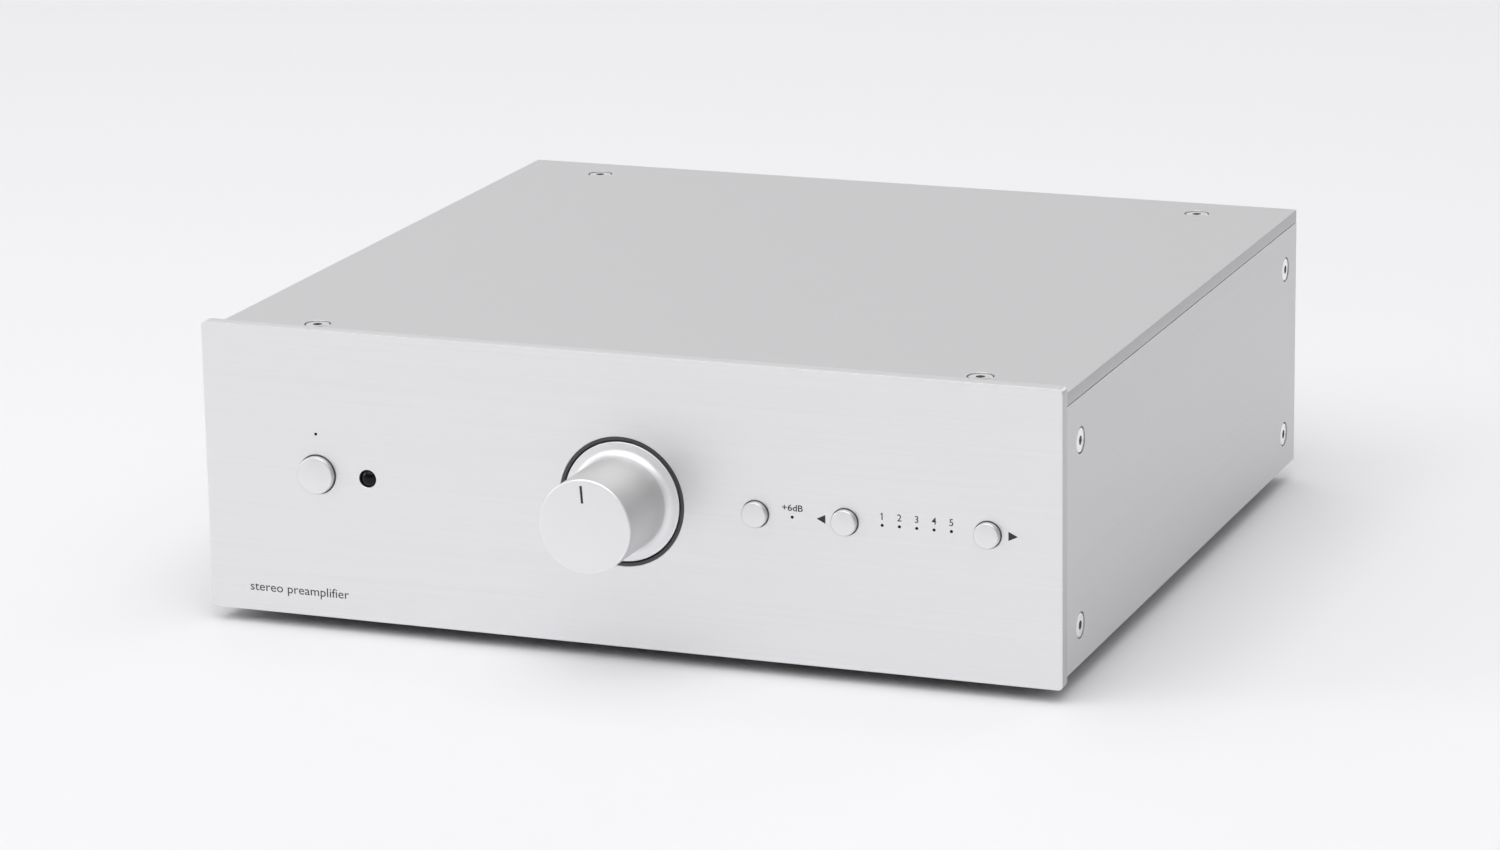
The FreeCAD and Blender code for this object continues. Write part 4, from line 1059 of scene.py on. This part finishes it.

# %% [markdown]
# ## The light pipes
#
# Seven unlit pinholes, each filled by the tip of a clear pipe. The pipes are coloured near
# black, which is painted shade for the dark that a clear, unlit pipe shows in its pinhole.

# %% Light pipes
def light_pipes():
    thin, thick = 0.34 * MM, 1.2 * MM
    tip, shoulder, back = -0.02 * MM, -PANEL_THICK - 0.1 * MM, -11 * MM
    corners = [(0, tip), (thin, tip), (thin, shoulder), (thick, shoulder), (thick, back),
               (0, back)]
    master = lathe_mesh("pipe_turned", corners, 16)
    spots = [((light.x, FACE_Y, light.z), (0, -1, 0)) for light in LIGHTS]
    mesh = copies_mesh("light_pipes", master, spots, "light_pipe_shade")
    return piece("light_pipe_set", mesh, "light_pipe_shade", stands_for=["light_pipes"])


print("light pipes:", len(light_pipes().data.polygons), "faces")

# %% [markdown]
# ## Printed marks
#
# The marks are screen-printed in dark ink. Text is made as a curve, turned into a mesh a few
# hundredths of a millimetre thick and laid on the panel. Only generic words, numbers and
# arrows are printed.

# %% Print helpers
INK = 0.02 * MM


def ink_text(words, height, wide=None, bold=0.0):
    """Flat lettering centred on the origin, its whole box of the given height and width."""
    curve = bpy.data.curves.new("lettering", "FONT")
    curve.body = words
    curve.align_x, curve.align_y = "CENTER", "CENTER"
    curve.resolution_u = 4
    curve.extrude = INK / 2
    curve.offset = bold
    holder = add_object("lettering", curve)
    mesh = settle(holder)
    xs = [vertex.co.x for vertex in mesh.vertices]
    ys = [vertex.co.y for vertex in mesh.vertices]
    tall = height / (max(ys) - min(ys))
    across = wide / (max(xs) - min(xs)) if wide else tall
    shift = Matrix.Translation((-(max(xs) + min(xs)) / 2, -(max(ys) + min(ys)) / 2, 0))
    mesh.transform(Matrix.Diagonal((across, tall, 1, 1)) @ shift)
    return mesh


def ink_triangle(width, height):
    """An arrowhead that points along X."""
    bm = bmesh.new()
    corners = ((-width / 2, -height / 2), (width / 2, 0), (-width / 2, height / 2))
    top = [bm.verts.new((x, y, INK / 2)) for x, y in corners]
    bottom = [bm.verts.new((x, y, -INK / 2)) for x, y in corners]
    bm.faces.new(top)
    bm.faces.new(reversed(bottom))
    for index in range(3):
        after = (index + 1) % 3
        bm.faces.new((top[after], top[index], bottom[index], bottom[after]))
    return mesh_from(bm, "arrowhead")


def joined(name, parts):
    """One mesh from several (mesh, x, y, turn in degrees) parts laid on a plane."""
    bm = bmesh.new()
    for mesh, x, y, turn in parts:
        place = Matrix.Translation((x, y, 0)) @ Matrix.Rotation(math.radians(turn), 4, "Z")
        mesh.transform(place)
        bm.from_mesh(mesh)
    return mesh_from(bm, name)


# %% [markdown]
# ## Marks on the front
#
# The gain button's step, the numbers of the inputs above their lights, an arrowhead outside
# each input button, and a small plain description in the corner. The typeface's 1 is a bare
# stroke, so a small triangle gives it a flag.

# %% Front marks
INPUT_LIGHTS = LIGHTS[-5:]
GAIN_LIGHT = LIGHTS[-6]
DIGIT_Z = LINE_Z + 2.05 * MM
ARROWS = {
    # button: (width, height, place beside its middle, height above the line, turn in degrees)
    "input_down_button": (2.05 * MM, 2.0 * MM, -5.6 * MM, 0.2 * MM, 180),
    "input_up_button": (2.15 * MM, 2.1 * MM, 5.8 * MM, 0.1 * MM, 0),
}


def front_marks():
    parts = [(ink_text(str(number), 1.6 * MM, bold=0.006), light.x, DIGIT_Z, 0)
             for number, light in enumerate(INPUT_LIGHTS, start=1)]
    flag = ink_triangle(0.6 * MM, 0.35 * MM)
    parts.append((flag, INPUT_LIGHTS[0].x - 0.22 * MM, DIGIT_Z + 0.55 * MM, 215))
    step = ink_text("+6dB", height=1.5 * MM, wide=4.9 * MM, bold=0.012)
    parts.append((step, GAIN_LIGHT.x + 0.1 * MM, LINE_Z + 2.15 * MM, 0))
    for node, (width, height, beside, above, turn) in ARROWS.items():
        arrow = ink_triangle(width, height)
        parts.append((arrow, middle(node).x + beside, LINE_Z + above, turn))
    words = ink_text("stereo preamplifier", height=2.8 * MM, wide=25.0 * MM)
    parts.append((words, panel_low.x + 22.4 * MM, panel_low.z + 5.5 * MM, 0))
    mesh = joined("front_print", parts)
    return piece("front_marks", mesh, "print_ink", facing="front",
                 at=(0, FACE_Y - INK / 2, 0))


print("front marks:", len(front_marks().data.polygons), "faces")

# %% [markdown]
# ## Marks on the rear
#
# The rear is out of sight in use, so its print is plain: the number of each input, arrows
# for what goes in and out, and the channel letters of the two rows.

# %% Rear marks
TYPE_TALL, SUPPLY_TALL, ARROW_LONG = 2 * MM, 1.8 * MM, 1.8 * MM
ABOVE_ROWS, SUPPLY_Z = ROWS[-1] + 9 * MM, LINE_Z + 7.5 * MM
LETTER_X = COLUMNS[0] - 9.5 * MM


def rear_marks():
    marks = [(ink_text(str(number), TYPE_TALL), x, ABOVE_ROWS, 0)
             for number, x in enumerate(COLUMNS[:5], start=1)]
    marks += [(ink_triangle(ARROW_LONG, TYPE_TALL), x, ABOVE_ROWS, 90) for x in COLUMNS[5:]]
    marks += [(ink_text("R", TYPE_TALL), LETTER_X, ROWS[0], 0),
              (ink_text("L", TYPE_TALL), LETTER_X, ROWS[-1], 0),
              (ink_text("12V", SUPPLY_TALL), TRIGGER.x, SUPPLY_Z, 0),
              (ink_text("DC", SUPPLY_TALL), INLET.x, SUPPLY_Z, 0)]
    mesh = joined("rear_print", [(mark, -x, z, turn) for mark, x, z, turn in marks])
    return piece("rear_marks", mesh, "print_ink", facing="rear",
                 at=(0, REAR_FACE + INK / 2, 0))


print("rear marks:", len(rear_marks().data.polygons), "faces")

# %% [markdown]
# ## The sockets
#
# Each RCA socket is a gold shell with a lip against the panel, a white or red sleeve and a
# gold contact. The masters are turned, and the scatter tree puts them at the places of the
# CAD sockets, facing the rear.

# %% RCA sockets
def socket_set(name, node, corners, spots, finish):
    master = lathe_mesh(name + "_turned", corners, 48, closed=True, steps=3)
    places = [((spot.x, REAR_FACE, spot.z), (0, 1, 0)) for spot in spots]
    mesh = copies_mesh(name, master, places, finish)
    piece(name, mesh, finish, stands_for=[node])


def rca_sockets():
    pin_hole, contact, bore, shell, lip = 1.62 * MM, 2.0 * MM, 3.5 * MM, 4.15 * MM, 5.6 * MM
    tip, lip_face, inside = high("rca_shells").y - REAR_FACE, 1.8 * MM, -REAR_THICK
    sleeve_face, tail = tip - MM, inside - 10 * MM
    blunt, fine = 0.3 * MM, 0.1 * MM
    socket_set("socket_shells", "rca_shells",
               [(bore, inside), (shell, inside), (shell, 0), (lip, 0), (lip, lip_face, blunt),
                (shell, lip_face), (shell, tip, blunt), (bore, tip, fine)],
               SOCKETS, "gold_plate")
    sleeve = [(contact, inside), (bore, inside), (bore, sleeve_face), (contact, sleeve_face)]
    for side, z, finish in (("left", ROWS[-1], "white_plastic"), ("right", ROWS[0], "red_plastic")):
        row = [spot for spot in SOCKETS if abs(spot.z - z) < MM]
        socket_set(side + "_sleeves", "rca_sleeves_" + side, sleeve, row, finish)
    socket_set("socket_contacts", "rca_contacts",
               [(pin_hole, tail), (contact, tail), (contact, sleeve_face, fine),
                (pin_hole, sleeve_face, fine)],
               SOCKETS, "gold_plate")


rca_sockets()
print("sockets:", len(SOCKETS))

# %% [markdown]
# ## The feet
#
# Moulded rubber with a soft lower edge and a recess that hides the screw.

# %% Feet
def rubber_feet():
    foot_top, foot_base, tread = high("rubber_feet").z, 8.5 * MM, 7.5 * MM
    bore, recess, recess_deep = 1.6 * MM, 3.6 * MM, 2.4 * MM
    corners = [(bore, recess_deep), (recess, recess_deep), (recess, 0, 0.3 * MM),
               (tread, 0, 0.7 * MM), (foot_base, foot_top, 0.3 * MM), (bore, foot_top)]
    master = lathe_mesh("foot_turned", corners, 64, closed=True)
    spots = [((spot.x, spot.y, 0), (0, 0, 1)) for spot in separate_solids("rubber_feet")]
    mesh = copies_mesh("feet", master, spots, "foot_rubber")
    return piece("feet", mesh, "foot_rubber", stands_for=["rubber_feet"])


print("feet:", len(rubber_feet().data.polygons), "faces")

# %% [markdown]
# ## Finishes on the CAD pieces that stay
#
# Everything else already has its true shape. Each of these nodes only needs the finish that
# belongs to its material slot. Most slots have a finish of the same name.

# %% Finish the rest
SLOT_FINISH = {
    "satin_anodised": "cover_anodised",
    "turned_anodised": "knob_anodised",
    "black_painted_steel": "black_steel",
    "light_pipe": "light_pipe_shade",
}
for part in frame["record"]["subparts"]:
    slot = part["material_slot"]
    dress(nodes[part["node"]].data, SLOT_FINISH.get(slot, slot))
